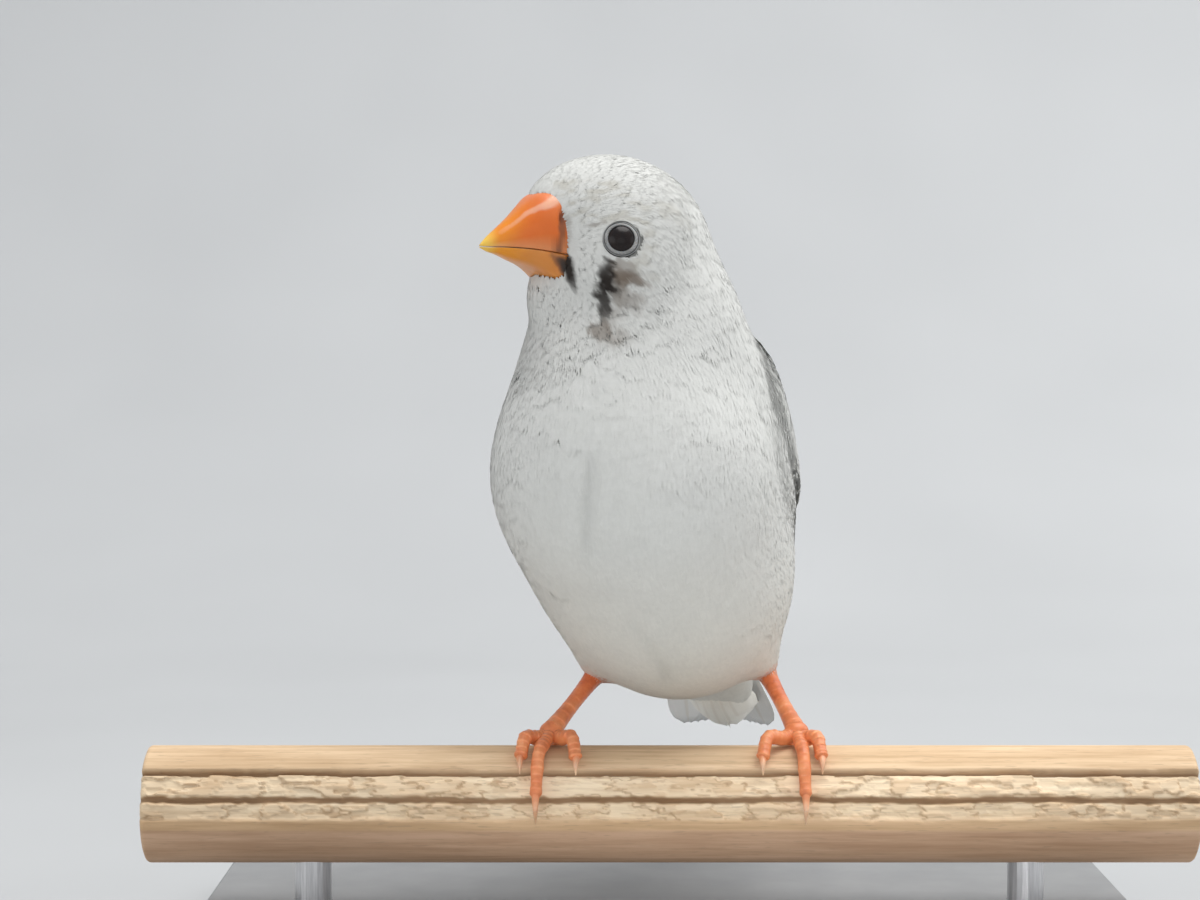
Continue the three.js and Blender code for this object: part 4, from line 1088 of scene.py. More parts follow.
def over_wings(points):
    """How far small feathers are raised over the wings, where wings hide them and how far skin follows."""
    offset = points - WING_START
    back = offset @ WING_AXIS
    turn = np.degrees(np.arctan2(np.abs(offset @ WING_SIDE), offset @ WING_OVER))
    upper, lower = np.interp(back, WING_BACK, WING_UPPER), np.interp(back, WING_BACK, WING_LOWER)
    within = smooth(-9, 7, turn - upper) * smooth(-6, 7, lower - turn) * smooth(-2, 4, back)
    raised = 0.95 * within * (1 - smooth(COVERTS_END + 5, COVERTS_END + 8, back))
    flank = smooth(-6, 0, turn - lower) * (1 - smooth(2, 16, turn - lower)) * smooth(0, 6, back)
    mantle = smooth(-9, 1, upper - turn) * (1 - smooth(4, 18, upper - turn)) * smooth(-1, 4, back)
    raised = np.maximum(raised, 0.4 * flank * (1 - smooth(30, 42, back)))
    raised = np.maximum(raised, 0.75 * mantle * (1 - smooth(14, 22, back)))
    hidden = (turn > upper + 5) & (turn < lower - 6) & (back > COVERTS_END) & (back < 44)
    skin_share = 0.85 * (1 - within * smooth(COVERTS_END - 3, COVERTS_END, back))
    return raised, hidden, skin_share


skin_points, skin_faces = surface_net(-COAT_DEPTH, 0.75)
_, skin_slopes = gradient(skin_points)
skin_raised, _, skin_share = over_wings(skin_points)
skin_points = skin_points + unit(skin_slopes) * (skin_share * skin_raised)[:, None]
FLESH = ["head", "neck", "torso", "tail", "wing_right", "wing_left", "thigh_right", "thigh_left"]
add_piece("skin", skin_points, skin_faces, SKIN, coat_colour(skin_points) * 0.96, replaced=FLESH)


def wing_relief(points):
    return over_wings(points)[0]


def breast_and_wing_relief(points):
    return breast_relief(points) + wing_relief(points)


def near_edges(points):
    """1 where the coat meets the bill or a lid."""
    edge = 1.0 * inside_bill(points, 0.75)
    for surface, _ in EYES.values():
        edge = np.maximum(edge, 1 - smooth(EYE_OPENING + 0.8, EYE_OPENING + 1.5, apart(points, surface)))
    return edge


def tuft_spacing(points):
    face = face_share(points)
    return 0.98 - 0.58 * face - 0.17 * near_edges(points) * (face > 0.4)


ROOT_TRIES = 125000
random = np.random.default_rng(SEED)
spread = spread_roots(ROOT_TRIES, tuft_spacing, random)
_, bare, _ = over_wings(spread[0])
bare |= inside_bill(spread[0], -0.08)
for surface, _ in EYES.values():
    bare |= apart(spread[0], surface) < EYE_OPENING + 0.42
for leg in LEGS.values():
    bare |= apart(spread[0], leg["exit"]) < 1.0
roots, root_normals, root_uv, root_share = (values[~bare] for values in spread)
face = face_share(roots)
fluff = 1 - smooth(0.02, 0.16, root_share)
edge = near_edges(roots)
root_lie = lie_of_coat(roots, root_normals, root_share)
root_length = (4.6 - 3.0 * face + 1.6 * fluff - 0.45 * edge) * random.uniform(0.72, 1.2, len(roots))
root_width = (1.75 - 1.25 * face - 0.14 * edge) * random.uniform(0.85, 1.15, len(roots))
root_sunk = COAT_DEPTH * np.clip(1.4 - 1.2 * face, 0.25, 1) * (1 - 0.6 * edge)
ROOTS = (roots, root_normals, root_uv, root_lie, root_length, root_width, root_sunk)


def coat_piece(name, chosen, barbs, by_barb=False, **options):
    """One region's tufts, coloured by where each feather shows, or each barb where the markings are fine."""
    numbers = np.flatnonzero(chosen)
    numbers = numbers[np.argsort(-roots[numbers, 2])]
    here = [values[numbers] for values in ROOTS]
    points, _, _, lie, length, _, _ = here
    strip, faces, uvs, ups = tufts(*here, barbs, random, **options)
    if by_barb:
        colour = coat_colour(strip.reshape(len(points), barbs, BARB_POINTS, 3))
        colour = 0.6 * colour + 0.4 * colour[:, :, 4:5]
    else:
        colour = each(coat_colour(points + 0.55 * length[:, None] * lie))
    colour = colour * random.uniform(0.985, 1.01, (len(points), 1, 1, 1))
    colour = colour * random.uniform(0.97, 1.01, (len(points), barbs, 1, 1))
    tones = np.clip(colour * BARB_SHADE[None, None, :, None], *TONE_LIMITS).reshape(-1, 3)
    piece = add_piece(name, strip, faces, COAT, tones, uvs)
    piece.data.normals_split_custom_set_from_vertices(ups)


# The body's coat is parted at the height of the shoulders, and there into its front and its back.
NECK_HEIGHT = 42
is_face = face > 0.35
is_neck = ~is_face & (roots[:, 2] > NECK_HEIGHT)
is_body = ~is_face & (roots[:, 2] <= NECK_HEIGHT)
frontal = root_normals @ vec(0, -1, 0) > -0.1
coat_piece("coat_face_1", is_face, 12, lift=0.03, thick=0.15, by_barb=True)
coat_piece("coat_neck_1", is_neck, 18, relief=wing_relief)
coat_piece("coat_breast_1", is_body & frontal, 18, relief=breast_and_wing_relief)
coat_piece("coat_back_1", is_body & ~frontal, 16, relief=wing_relief)


# Flight feathers and tail feathers: vanes with a shaft, laid over the flanks or fanned in the tail.
VANE_ROWS, VANE_COLUMNS = 16, 7
VANE_THICKNESS = 0.12
# The UV map holds a cell for each vane, so many to a side, with its top face and its under face next to it.
MAP_CELLS = 12


def vane_grid(surface, width, lift, camber=0.0, blunt=0.3):
    """One vane's points: top and under faces over a rounded, tapered outline."""
    t = np.linspace(0, 1, VANE_ROWS)[:, None] + np.zeros((1, VANE_COLUMNS))
    a = np.linspace(-1, 1, VANE_COLUMNS)[None] + np.zeros((VANE_ROWS, 1))
    swell = 0.55 + 0.45 * np.minimum(1, t / 0.5)
    past = np.maximum(0, (t - (1 - blunt)) / (blunt + 0.004))
    aside = 0.5 * width * a * swell * np.sqrt(np.maximum(0, 1 - past**2))
    high = lift(t) + camber * (1 - a**2)
    return surface(t, aside, high), surface(t, aside * 0.985, high - VANE_THICKNESS), a, t


class VaneSet:
    """Collects vanes into one mesh with the layout and colours that its material reads."""

    def __init__(self):
        self.points, self.faces, self.layouts, self.tones, self.uvs = [], [], [], [], []

    def add(self, surface, width, lift, length, tone_at, **shape):
        top, under, a, t = vane_grid(surface, width, lift, **shape)
        rows, columns = a.shape
        count, size = len(self.points), rows * columns
        base = 2 * size * count
        quads = grid_faces(rows, columns)
        edge = np.concatenate([
            np.arange(columns), np.arange(1, rows) * columns + columns - 1,
            (rows - 1) * columns + np.arange(columns - 2, -1, -1), np.arange(rows - 2, 0, -1) * columns,
        ]) + base
        after = np.roll(edge, -1)
        rim = np.stack([edge, edge + size, after + size, after], -1)
        self.faces.append(np.concatenate([quads + base, quads[:, ::-1] + base + size, rim]))
        self.points.append(np.concatenate([top.reshape(-1, 3), under.reshape(-1, 3)]))
        layout = np.stack([a, t * length, np.zeros_like(a)], -1).reshape(-1, 3)
        self.layouts.append(np.concatenate([layout, layout]))
        tone = tone_at(top, a, t).reshape(-1, 3)
        self.tones.append(np.concatenate([tone, tone * 0.97]))
        cell = 1 / MAP_CELLS
        corner = vec(count % MAP_CELLS, count // MAP_CELLS) * cell
        face_uv = corner + (np.stack([(a + 1) / 2, t], -1).reshape(-1, 2) * vec(0.44, 0.9) + 0.03) * cell
        self.uvs.append(np.concatenate([face_uv, face_uv + vec(0.5, 0) * cell]))

    def make(self, name):
        points, faces, layouts, tones, uvs = (
            np.concatenate(rows) for rows in (self.points, self.faces, self.layouts, self.tones, self.uvs)
        )
        piece = add_piece(name, points, faces, VANE, np.clip(tones, *TONE_LIMITS), uvs)
        layout = piece.data.attributes.new("Layout", "FLOAT_VECTOR", "POINT")
        layout.data.foreach_set("vector", layouts.astype(np.float32).ravel())


def clouded(base, points, size, seed, depth):
    """A vane's base colour, faintly uneven."""
    return np.broadcast_to(base, points.shape) * (1 - depth * noise(points, size, seed))[..., None]


# Tiers of a wing, from the lowest up: count, roots and tips as (back, turn) of the first and last feather,
# width, height at the root, heights of the tips, how grey the vanes are and how far their middles bow out.
WING_TIERS = {
    "primaries": (9, ((16, 84), (18, 60)), ((47.3, 44), (39, 22)), 3.2, 0.0, (0.1, 0.45), 0.4, 0.2),
    "secondaries": (8, ((14, 78), (14, 34)), ((37.5, 56), (32.5, 24)), 3.6, 0.05, (0.4, 0.7), 0.12, 0.2),
    "tertials": (3, ((13, 36), (12, 24)), ((35.5, 20), (28, 15)), 5.0, 0.2, (0.75, 0.9), 0.06, 0.2),
    "greater_coverts": (9, ((11, 84), (11, 32)), ((25.5, 76), (24.5, 25)), 2.9, 0.2, (0.55, 0.8), 0.02, 0.1),
}
WING_GREY = (0.45, 0.41, 0.36)
ROOT_DEPTH = 1.2


def outer_reach(origins, rays):
    """The distance along each ray at which a sheet laid over the form would meet it."""
    high = np.full(rays.shape[:-1], 1.0)
    found = np.zeros(rays.shape[:-1], bool)
    for step in np.arange(20.0, 0.5, -0.5):
        met = (plumage(origins + rays * step) < 0) & ~found
        high = np.where(met, step, high)
        found |= met
    return narrowed(origins, rays, high, high + 0.5, 7)


def bridged(t, heights):
    """Heights along a vane, with its hollows bridged as a stiff feather bridges them."""
    start, end, at = t[:, None, None], t[None, :, None], t[None, None, :]
    low, high = heights[:, None, None], heights[None, :, None]
    chord = low + (high - low) * ((at - start) / np.maximum(end - start, 1e-6))
    covers = (start <= at) & (at <= end) & (end > start)
    return np.maximum(np.where(covers, chord, -np.inf).max((0, 1)), heights)


def wing_vane(vanes, side, tier, share, rng):
    _, roots_at, tips_at, width, low, highs, grey, camber = tier
    root_back, root_turn = vec(*roots_at[0]) * (1 - share) + vec(*roots_at[1]) * share
    tip_back, tip_turn = vec(*tips_at[0]) * (1 - share) + vec(*tips_at[1]) * share
    tip_back += rng.uniform(-0.3, 0.3)
    high = highs[0] * (1 - share) + highs[1] * share

    def surface(t, aside, up):
        back = root_back + (tip_back - root_back) * t
        turn = root_turn + (tip_turn - root_turn) * t
        middle = bridged(t[:, 0], outer_reach(*on_flank(side, back[:, :1], turn[:, :1]))[:, 0])[:, None]
        centres, rays = on_flank(side, back, turn + np.degrees(aside / np.maximum(middle, 2)))
        distance = np.stack([bridged(t[:, 0], column) for column in outer_reach(centres, rays).T], 1)
        return centres + rays * (distance + up - 0.08 * aside)[..., None]

    def lift(t):
        out_of_coat = smooth(0.5, 7.5, t * (tip_back - root_back))
        risen = low + (high - low) * np.minimum(1, t / 0.4) - 0.25 * high * smooth(0.5, 1.0, t)
        return risen * out_of_coat - ROOT_DEPTH * (1 - out_of_coat)

    def tone(points, a, t):
        inner = smooth(-0.2, 1.0, -a) * smooth(0.1, 0.6, t) * grey
        # Painted shade: each vane is greyed along its edges and at its tip, where the feathers overlap.
        overlap_shade = 0.32 * smooth(0.7, 1.0, np.abs(a)) + 0.26 * smooth(0.93, 1.0, t)
        # The inner vane's grey is the feathers' own colour; the edges and tips take the painted shade.
        grey_and_overlap_shade = np.clip(inner + 0.15 * grey + overlap_shade, 0, 1)
        return mix(clouded(WHITE, points, 1.3, 4, 0.05), WING_GREY, grey_and_overlap_shade)

    vanes.add(surface, width, lift, tip_back - root_back, tone, camber=camber)


for side, word in SIDES.items():
    vanes = VaneSet()
    for tier in WING_TIERS.values():
        for i in range(tier[0]):
            wing_vane(vanes, side, tier, i / (tier[0] - 1), random)
    vanes.make(f"wing_feathers_{word}")

TAIL_LENGTH, TAIL_ROOT = 37.0, 11
TAIL_WIDTH = 14.4
TAIL_PAIRS = 6
RECTRIX_WIDTH = 4.6


def tail_point(out, back, over):
    """Points of the tail: out to the side, back from its root and over it."""
    point = TAIL.centre + out[..., None] * TAIL.side
    return point - back[..., None] * TAIL.along + over[..., None] * TAIL.over


def flat(t):
    """No lift anywhere along a vane."""
    return 0 * t


def tail_tone(points, a, t):
    # Painted light: the tail takes a brighter white than the body, creamy towards the root.
    return mix(clouded(TAIL_WHITE_PAINTED_LIGHT, points, 1.5, 6, 0.05), CREAM, 0.2 * (1 - t))


def rectrix(vanes, side, pair, rng):
    share = pair / (TAIL_PAIRS - 1)
    root_side, tip_side = 0.4 + 1.6 * share, 0.9 + (TAIL_WIDTH / 2 - 2.35 - 0.9) * share
    length = TAIL_LENGTH - 0.35 * pair - rng.uniform(0, 0.3)
    stack = 0.95 - 0.3 * pair - (0.15 if side < 0 else 0)

    def surface(t, aside, up):
        out = side * (root_side + (tip_side - root_side) * t) + aside
        return tail_point(out, TAIL_ROOT + (length - TAIL_ROOT) * t, stack + up - 0.012 * out**2 - 0.5 * t**2)

    vanes.add(surface, RECTRIX_WIDTH, flat, length - TAIL_ROOT, tail_tone, camber=0.15, blunt=0.22)


rectrices = VaneSet()
for pair in reversed(range(TAIL_PAIRS)):
    for side in SIDES:
        rectrix(rectrices, side, pair, random)
rectrices.make("tail_feathers")

# Undertail coverts: layers of soft cream vanes that close in under the tail's root, the lowest first.
UNDERTAIL_LAYERS = [
    {"sides": [3.3, -1.6, 2.2, -0.4, 0.9], "back": 31.6, "drop": 3.3},
    {"sides": [3.6, -2.2, 2.3, -0.8, 0.8], "back": 32.4, "drop": 2.3},
    {"sides": [3.6, -2.6, 2.0, -1.0, 0.5], "back": 33.2, "drop": 1.3},
]
# The coverts' own cream, painted brighter than the body's cream as painted light.
UNDERTAIL_CREAM_PAINTED_LIGHT = vec(0.9, 0.88, 0.8)
COVERT_ROOT, COVERT_WIDTH, COVERT_LENGTH = 19, 4.0, 12
COVERT_STEPS = [0, 0.35, 0.7, 1]


def covert_tone(points, a, t):
    # The coverts' cream with painted light, falling to the body's cream towards the root.
    return mix(clouded(UNDERTAIL_CREAM_PAINTED_LIGHT, points, 1.2, 7, 0.06), CREAM, 0.3 * (1 - t))


def undertail_covert(vanes, side, layer, shape, rng):
    end = shape["back"] - 0.2 * (side - 1) ** 2 - rng.uniform(0, 0.4)

    def surface(t, aside, up):
        out = side * (0.8 + 0.2 * t) + aside
        over = np.interp(t, COVERT_STEPS, [-4.5, -5.3, -4.9, -shape["drop"]]) + 0.5 * layer * (1 - t)
        return tail_point(out, COVERT_ROOT + (end - COVERT_ROOT) * t, over + 0.13 * (out - 1) ** 2 - up)

    vanes.add(surface, COVERT_WIDTH, flat, COVERT_LENGTH, covert_tone, camber=0.35, blunt=0.5)


coverts = VaneSet()
for layer, shape in enumerate(UNDERTAIL_LAYERS):
    for side in shape["sides"]:
        undertail_covert(coverts, side, layer, shape, random)
coverts.make("undertail_coverts")


# Legs, toes and claws are tubes along curves, with scutes raised round them.
def catmull(points, shares):
    """A smooth curve through a few points, at shares of their number."""
    knots = with_ends(np.asarray(points, float))
    at = np.clip(shares, 0, 1) * (len(points) - 1)
    i = np.minimum(at.astype(int), len(points) - 2)
    return between(*(knots[i + k] for k in range(4)), (at - i)[:, None])


def by_length(points, count):
    """Points at even steps along a curve through a few, and its length."""
    fine = catmull(points, np.linspace(0, 1, 400))
    lengths = lengths_along(fine)
    return points_at(np.linspace(0, lengths[-1], count), lengths, fine), lengths[-1]


def limb(points, radius_at, count, around, over):
    """Rings round a curve. Turn 0 faces over, so that scutes can lie on the top of a toe."""
    centres, length = by_length(points, count)
    run = unit(np.gradient(centres, axis=0))
    top = unit(over - run * (run @ over)[:, None])
    side = np.cross(run, top)
    turn = ring_turns(around)
    share = np.linspace(0, 1, count)
    radius = radius_at(share[:, None], turn[None], length)
    rays = rays_round(turn[None], top[:, None], side[:, None])
    return centres[:, None] + radius[..., None] * rays, share, turn, length


def scute_top(turn):
    """1 on the side that turn 0 faces, where the scutes lie, and 0 underneath."""
    return smooth(-0.1, 0.75, np.cos(turn))


def scuted(base, scute, facing):
    """A radius with a saw-tooth of scutes on the side that turn 0 faces, and fine grains underneath."""

    def radius(share, turn, length):
        step = length * share / scute
        tooth = (step % 1) ** 2
        top = scute_top(turn)
        grains = np.sin(turn * 9 + 3 * np.floor(step * 2)) * np.sin(step * 2 * np.pi)
        return base(share) * (1 + facing * (tooth - 0.35) * top + 0.03 * grains * (1 - top))

    return radius


def scute_tones(share, turn, length, scute, pale):
    """Pale edges between scutes, on the side where they lie."""
    step = (length * share[:, None] / scute) % 1
    top = scute_top(turn)[None]
    edge = np.maximum(smooth(0.78, 0.98, step), 1 - smooth(0.0, 0.12, step)) * top
    tone = 1 - 0.1 * np.sin(step * np.pi) * top
    return mix(np.repeat(tone[..., None], 3, -1), pale, 0.5 * edge)


TOE_RADIUS = 0.66
SIDE_TOE_RADIUS = 1.1 * TOE_RADIUS
MIDDLE = {"reach": 75, "claw": 3.1, "radius": TOE_RADIUS, "dip": 0.15, "knuckle": 0.3}
INNER = {"reach": 39, "claw": 1.9, "radius": SIDE_TOE_RADIUS, "dip": 0.1, "knuckle": 0.75}
OUTER = {"reach": 38, "claw": 1.9, "radius": SIDE_TOE_RADIUS, "dip": 0.1, "knuckle": 0.75}
HALLUX = {"reach": -70, "claw": 3.6, "radius": SIDE_TOE_RADIUS, "dip": 0.2, "knuckle": 0.35}
TOES = {"middle": MIDDLE, "inner": INNER, "outer": OUTER, "hallux": HALLUX}
TOE_JOINTS = {"middle": (0.36, 0.68), "inner": (0.5,), "outer": (0.34, 0.62), "hallux": (0.5,)}
SPREAD = {
    RIGHT: {"middle": -1.6, "inner": 2.7, "outer": -3.3, "hallux": 0.6},
    LEFT: {"middle": -0.5, "inner": 4.0, "outer": -2.4, "hallux": 0.6},
}
# The hub of a foot: an oval ball, just below the legs' ends.
HUB_RADII = 1.35, 1.3, 1.15
HUB_DROP = vec(0, 0, 0.1)


def round_perch(x, turn, clear):
    out = PERCH_RADIUS + clear
    return vec(x, -out * math.sin(math.radians(turn)), out * math.cos(math.radians(turn)) - PERCH_RADIUS)


def toe_path(side, toe):
    hub = LEGS[side]["hub"]
    shape = TOES[toe]
    turn, radius = shape["reach"], shape["radius"]

    def x(share):
        return hub[0] - side * SPREAD[side][toe] * min(1, 1.5 * share)

    return [
        hub - HUB_DROP,
        round_perch(x(0.25), turn * 0.2, radius + shape["dip"] + 0.2),
        round_perch(x(0.55), turn * 0.5, radius + shape["knuckle"] + 0.2),
        round_perch(x(1), turn, radius + 0.12),
    ]


def toe_part(side, toe):
    """A toe's points, faces and tones, with a bulge at each joint and a pad before the claw."""
    scute = 0.78 if toe == "middle" else 0.72

    def base(share):
        bulge = sum(0.1 * np.exp(-(((share - joint) / 0.07) ** 2)) for joint in TOE_JOINTS[toe])
        pad = 0.12 * smooth(0.86, 0.97, share) * (1 - smooth(0.97, 1.0, share))
        thick = TOES[toe]["radius"] * (1.16 - 0.26 * share + bulge + pad)
        return thick * (1 - 0.3 * smooth(0.95, 1.0, share))

    grid, share, turn, length = limb(toe_path(side, toe), scuted(base, scute, 0.13), 120, 20, UP)
    tones = end_tones(scute_tones(share, turn, length, scute, (1.08, 1.35, 1.7)))
    return *capped(grid, flipped=True), tones


def hub_part(hub):
    bend = np.linspace(0.02, np.pi - 0.02, 14)[:, None]
    turn = ring_turns(24)[None]
    wide, long, high = HUB_RADII
    across, along = wide * np.sin(bend) * np.cos(turn), long * np.sin(bend) * np.sin(turn)
    ball = np.stack([across, along, high * np.cos(bend) + 0 * turn], -1)
    points, faces = capped(ball + hub - HUB_DROP, flipped=True)
    return points, faces, np.ones_like(points)


def foot_piece(side, word):
    parts = [toe_part(side, toe) for toe in TOES] + [hub_part(LEGS[side]["hub"])]
    starts = np.cumsum([0] + [len(points) for points, _, _ in parts])
    points = np.concatenate([part[0] for part in parts])
    faces = np.concatenate([part[1] + start for part, start in zip(parts, starts)])
    tones = np.concatenate([part[2] for part in parts])
    add_piece(f"foot_skin_{word}", points, faces, LEG_SKIN, tones, replaced=[f"foot_{word}"])


def tarsus_piece(side, word):
    leg = LEGS[side]
    run = unit(leg["hub"] - leg["ankle"])
    path = [leg["exit"] - 0.9 * run, leg["exit"] * 0.5 + leg["hub"] * 0.5, leg["hub"] - 0.2 * run]
    scute = 1.35

    def base(share):
        return 0.85 * (1 + 0.32 * (2 * share - 1) ** 2 + 0.12 * smooth(0.12, 0.0, share))

    grid, share, turn, length = limb(path, scuted(base, scute, 0.07), 150, 24, vec(-0.1 * side, -1, 0.5))
    tone = scute_tones(share, turn, length, scute, (1.05, 1.2, 1.45))
    upper = 0.8 * (1 - smooth(0.35, 0.8, share))[:, None] + 0 * turn
    tones = end_tones(mix(tone, (0.93, 0.72, 0.62), upper))
    points, faces = capped(grid, flipped=True)
    add_piece(f"tarsus_skin_{word}", points, faces, LEG_SKIN, tones, replaced=[f"tarsus_{word}"])


def cuff_piece(side, word, rng):
    """Short sparse feathers that close the coat round the top of the bare leg."""
    leg = LEGS[side]
    run = unit(leg["hub"] - leg["ankle"])
    across = unit(np.cross(run, UP))
    count, shares = 90, np.linspace(0, 1, 5)
    turn = 2 * np.pi * (np.arange(count) + rng.uniform(-0.4, 0.4, count)) / count
    rays = rays_round(turn, across, np.cross(run, across))
    top, tip = rng.uniform(-1.4, -0.8, count)[:, None], rng.uniform(0.1, 1.1, count)[:, None]
    down = top + (tip - top) * shares
    out = 1.2 + (0.93 - 1.2) * shares**0.7 + rng.uniform(-0.05, 0.08, (count, 1))
    middle = leg["exit"] + down[..., None] * run + out[..., None] * rays[:, None]
    width = 0.1 * np.array([0.7, 1.0, 0.9, 0.6, 0.0])
    edge = np.cross(run, rays)[:, None] * width[None, :, None]
    points = np.stack([middle - edge, middle + edge], 2).reshape(-1, 3)
    step = np.arange(count)[:, None, None] * 10 + np.arange(4)[None, :, None] * 2
    faces = (step + np.array([0, 1, 3, 2])).reshape(-1, 4)
    colour = np.repeat(coat_colour(middle).reshape(-1, 3), 2, 0)
    add_piece(f"leg_cuff_{word}", points, faces, COAT, colour)


def claw_piece(side, word, toe):
    """A claw that tapers from the toe's end down round the perch, pink at its root and pale at its tip."""
    shape = TOES[toe]
    before, end_point = catmull(toe_path(side, toe), np.array([0.93, 1.0]))
    turn = shape["reach"]
    end = turn + math.copysign(math.degrees(shape["claw"] / (PERCH_RADIUS + 1)), turn)
    x = end_point[0]
    path = [before, end_point, round_perch(x, (turn + end) / 2, 0.98), round_perch(x, end, 0.42)]

    def radius(share, around, length):
        return (0.58 * (1 - share) ** 0.85 + 0.06) * (1 - 0.18 * np.abs(np.sin(around)))

    grid, share, around, _ = limb(path, radius, 60, 18, UP)
    pink = np.broadcast_to(vec(1, 0.88, 0.8), (len(share), 3))
    tone = mix(pink, (1.04, 0.5, 0.27), 1 - smooth(0.1, 0.7, share))
    tone = mix(tone, (1.02, 1.04, 0.95), smooth(0.65, 0.95, share))
    tones = end_tones(np.repeat(tone[:, None], len(around), 1))
    points, faces = capped(grid, flipped=True)
    add_piece(f"claw_horn_{word}_{toe}", points, faces, CLAW, tones, replaced=[f"claw_{word}_{toe}"])


for side, word in SIDES.items():
    foot_piece(side, word)
    tarsus_piece(side, word)
    cuff_piece(side, word, random)
    for toe in TOES:
        claw_piece(side, word, toe)


# The perch: a dowel with two saw grooves along its front and gnawed, splintered ribs between them.
def perch_material():
    nodes = Nodes("PerchWood")
    place = nodes.place()
    fibres = nodes.noise(nodes.scaled(place, (0.05, 1.0, 1.0)), 1500.0, 4.0, 0.62)
    bands = nodes.noise(nodes.scaled(place, (0.09, 1.0, 1.0)), 330.0, 3.0, 0.5, 0.3)
    pores = nodes.spread(nodes.noise(nodes.scaled(place, (0.12, 1.0, 1.0)), 4200.0, 1.0), 0.62, 0.72)
    grain = nodes.ramp(fibres, (0.3, (0.8, 0.74, 0.68)), (0.62, (1.02, 1.01, 1.0)))
    broad = nodes.ramp(bands, (0.3, (0.85, 0.8, 0.74)), (0.7, (1.04, 1.03, 1.02)))
    colour = nodes.times(nodes.times(nodes.tone(), grain), broad)
    colour = nodes.blend(nodes.maths("MULTIPLY", pores, 0.35), colour, (0.36, 0.25, 0.16))
    nodes.set(colour=colour, rough=0.78, specular=0.25)
    nodes.bump(fibres, 0.4, 0.00012)
    return nodes.material


# The worn front, as turns in degrees from the perch's top: grooves, and the gnawed ribs below them.
UPPER_GROOVE, LOWER_GROOVE = (45.5, 50.5), (73.5, 79.5)
UPPER_RIB, LOWER_RIB = (50.5, 73.5), (79.5, 95.5)
# Turns where the painted shade of the underside starts, where its pinker lowest part starts, and where both
# end.
SHADED_UNDERSIDE = {"from": (94, 99), "pinker_from": (105, 109), "to": (235, 250)}
PERCH_ROWS, PERCH_COLUMNS = 760, 260
END_ROUNDING = 0.5
WOOD = {
    "pale": (0.78, 0.6, 0.405),
    "fresh": (0.93, 0.8, 0.6),
    "torn": (0.5, 0.34, 0.2),
    "groove": (0.26, 0.155, 0.08),
    # under: the painted shade of the perch's underside.
    "under": (0.66, 0.46, 0.275),
    "pinker_bottom": (0.6, 0.41, 0.3),
    # The colour of painted shade in patches over the top.
    "top_shade": (0.68, 0.51, 0.33),
    "end": (0.62, 0.46, 0.3),
}


def band(limits, soft, where):
    """1 within limits, falling off softly at both."""
    low, high = limits
    return smooth(low - soft, low + soft, where) * (1 - smooth(high - soft, high + soft, where))


def perch_wear(spot, turn):
    """How far each point lies in the grooves and the ribs, and how far the ribs are bitten and flaked."""
    slow = noise(spot * vec(1, 0.6, 1), 7.0, 11) - 0.5
    wave = noise(spot * vec(1, 0.5, 1), 2.2, 12) - 0.5
    fine = noise(spot * vec(1, 2.0, 1), 0.8, 13) - 0.5
    at = turn + 2.4 * slow + 3.2 * wave + 2.0 * fine
    calm = turn + 1.2 * slow
    grooves = band(UPPER_GROOVE, 0.8, calm * 0.6 + at * 0.4), band(LOWER_GROOVE, 1.2, at)
    ribs = band(UPPER_RIB, 0.8, at) + band(LOWER_RIB, 0.9, at)
    coarse = noise(spot * vec(0.55, 1.3, 1), 1.7, 14) + 0.35 * noise(spot * vec(0.6, 2.2, 1), 0.6, 17)
    flakes = noise(spot * vec(0.5, 1.8, 1), 0.8, 18) + 0.3 * noise(spot * vec(0.7, 2.5, 1), 0.35, 19)
    return grooves, ribs, smooth(0.6, 0.72, coarse), smooth(0.56, 0.68, flakes)


def perch_colour(spot, turn, grooves, ribs, bite, flake):
    chips = np.clip(0.6 * bite + 0.5 * flake, 0, 1)
    pale = np.broadcast_to(vec(*WOOD["pale"]), spot.shape)
    colour = mix(pale, WOOD["fresh"], ribs * (0.25 + 0.75 * chips))
    torn = smooth(0.08, 0.3, np.abs(bite - 0.5) * -2 + 1) * ribs
    colour = mix(colour, WOOD["torn"], 0.5 * torn)
    colour = mix(colour, WOOD["groove"], np.clip(grooves[0] + grooves[1], 0, 1) * 0.8)
    # Painted shade on the underside, which faces down: darker tan, and on its lowest part darker still and
    # pinker.
    lower = smooth(*SHADED_UNDERSIDE["from"], turn) * (1 - smooth(*SHADED_UNDERSIDE["to"], turn))
    colour = mix(colour, WOOD["under"], lower * 0.75)
    colour = mix(colour, WOOD["pinker_bottom"], lower * smooth(*SHADED_UNDERSIDE["pinker_from"], turn) * 0.7)
    # Painted shade in soft darker patches over the perch's top.
    painted_top_shade = smooth(0.52, 0.68, noise(spot * vec(0.35, 1, 1), 6.0, 16)) * band((-20, 45), 3, turn)
    return mix(colour, WOOD["top_shade"], 0.45 * painted_top_shade)


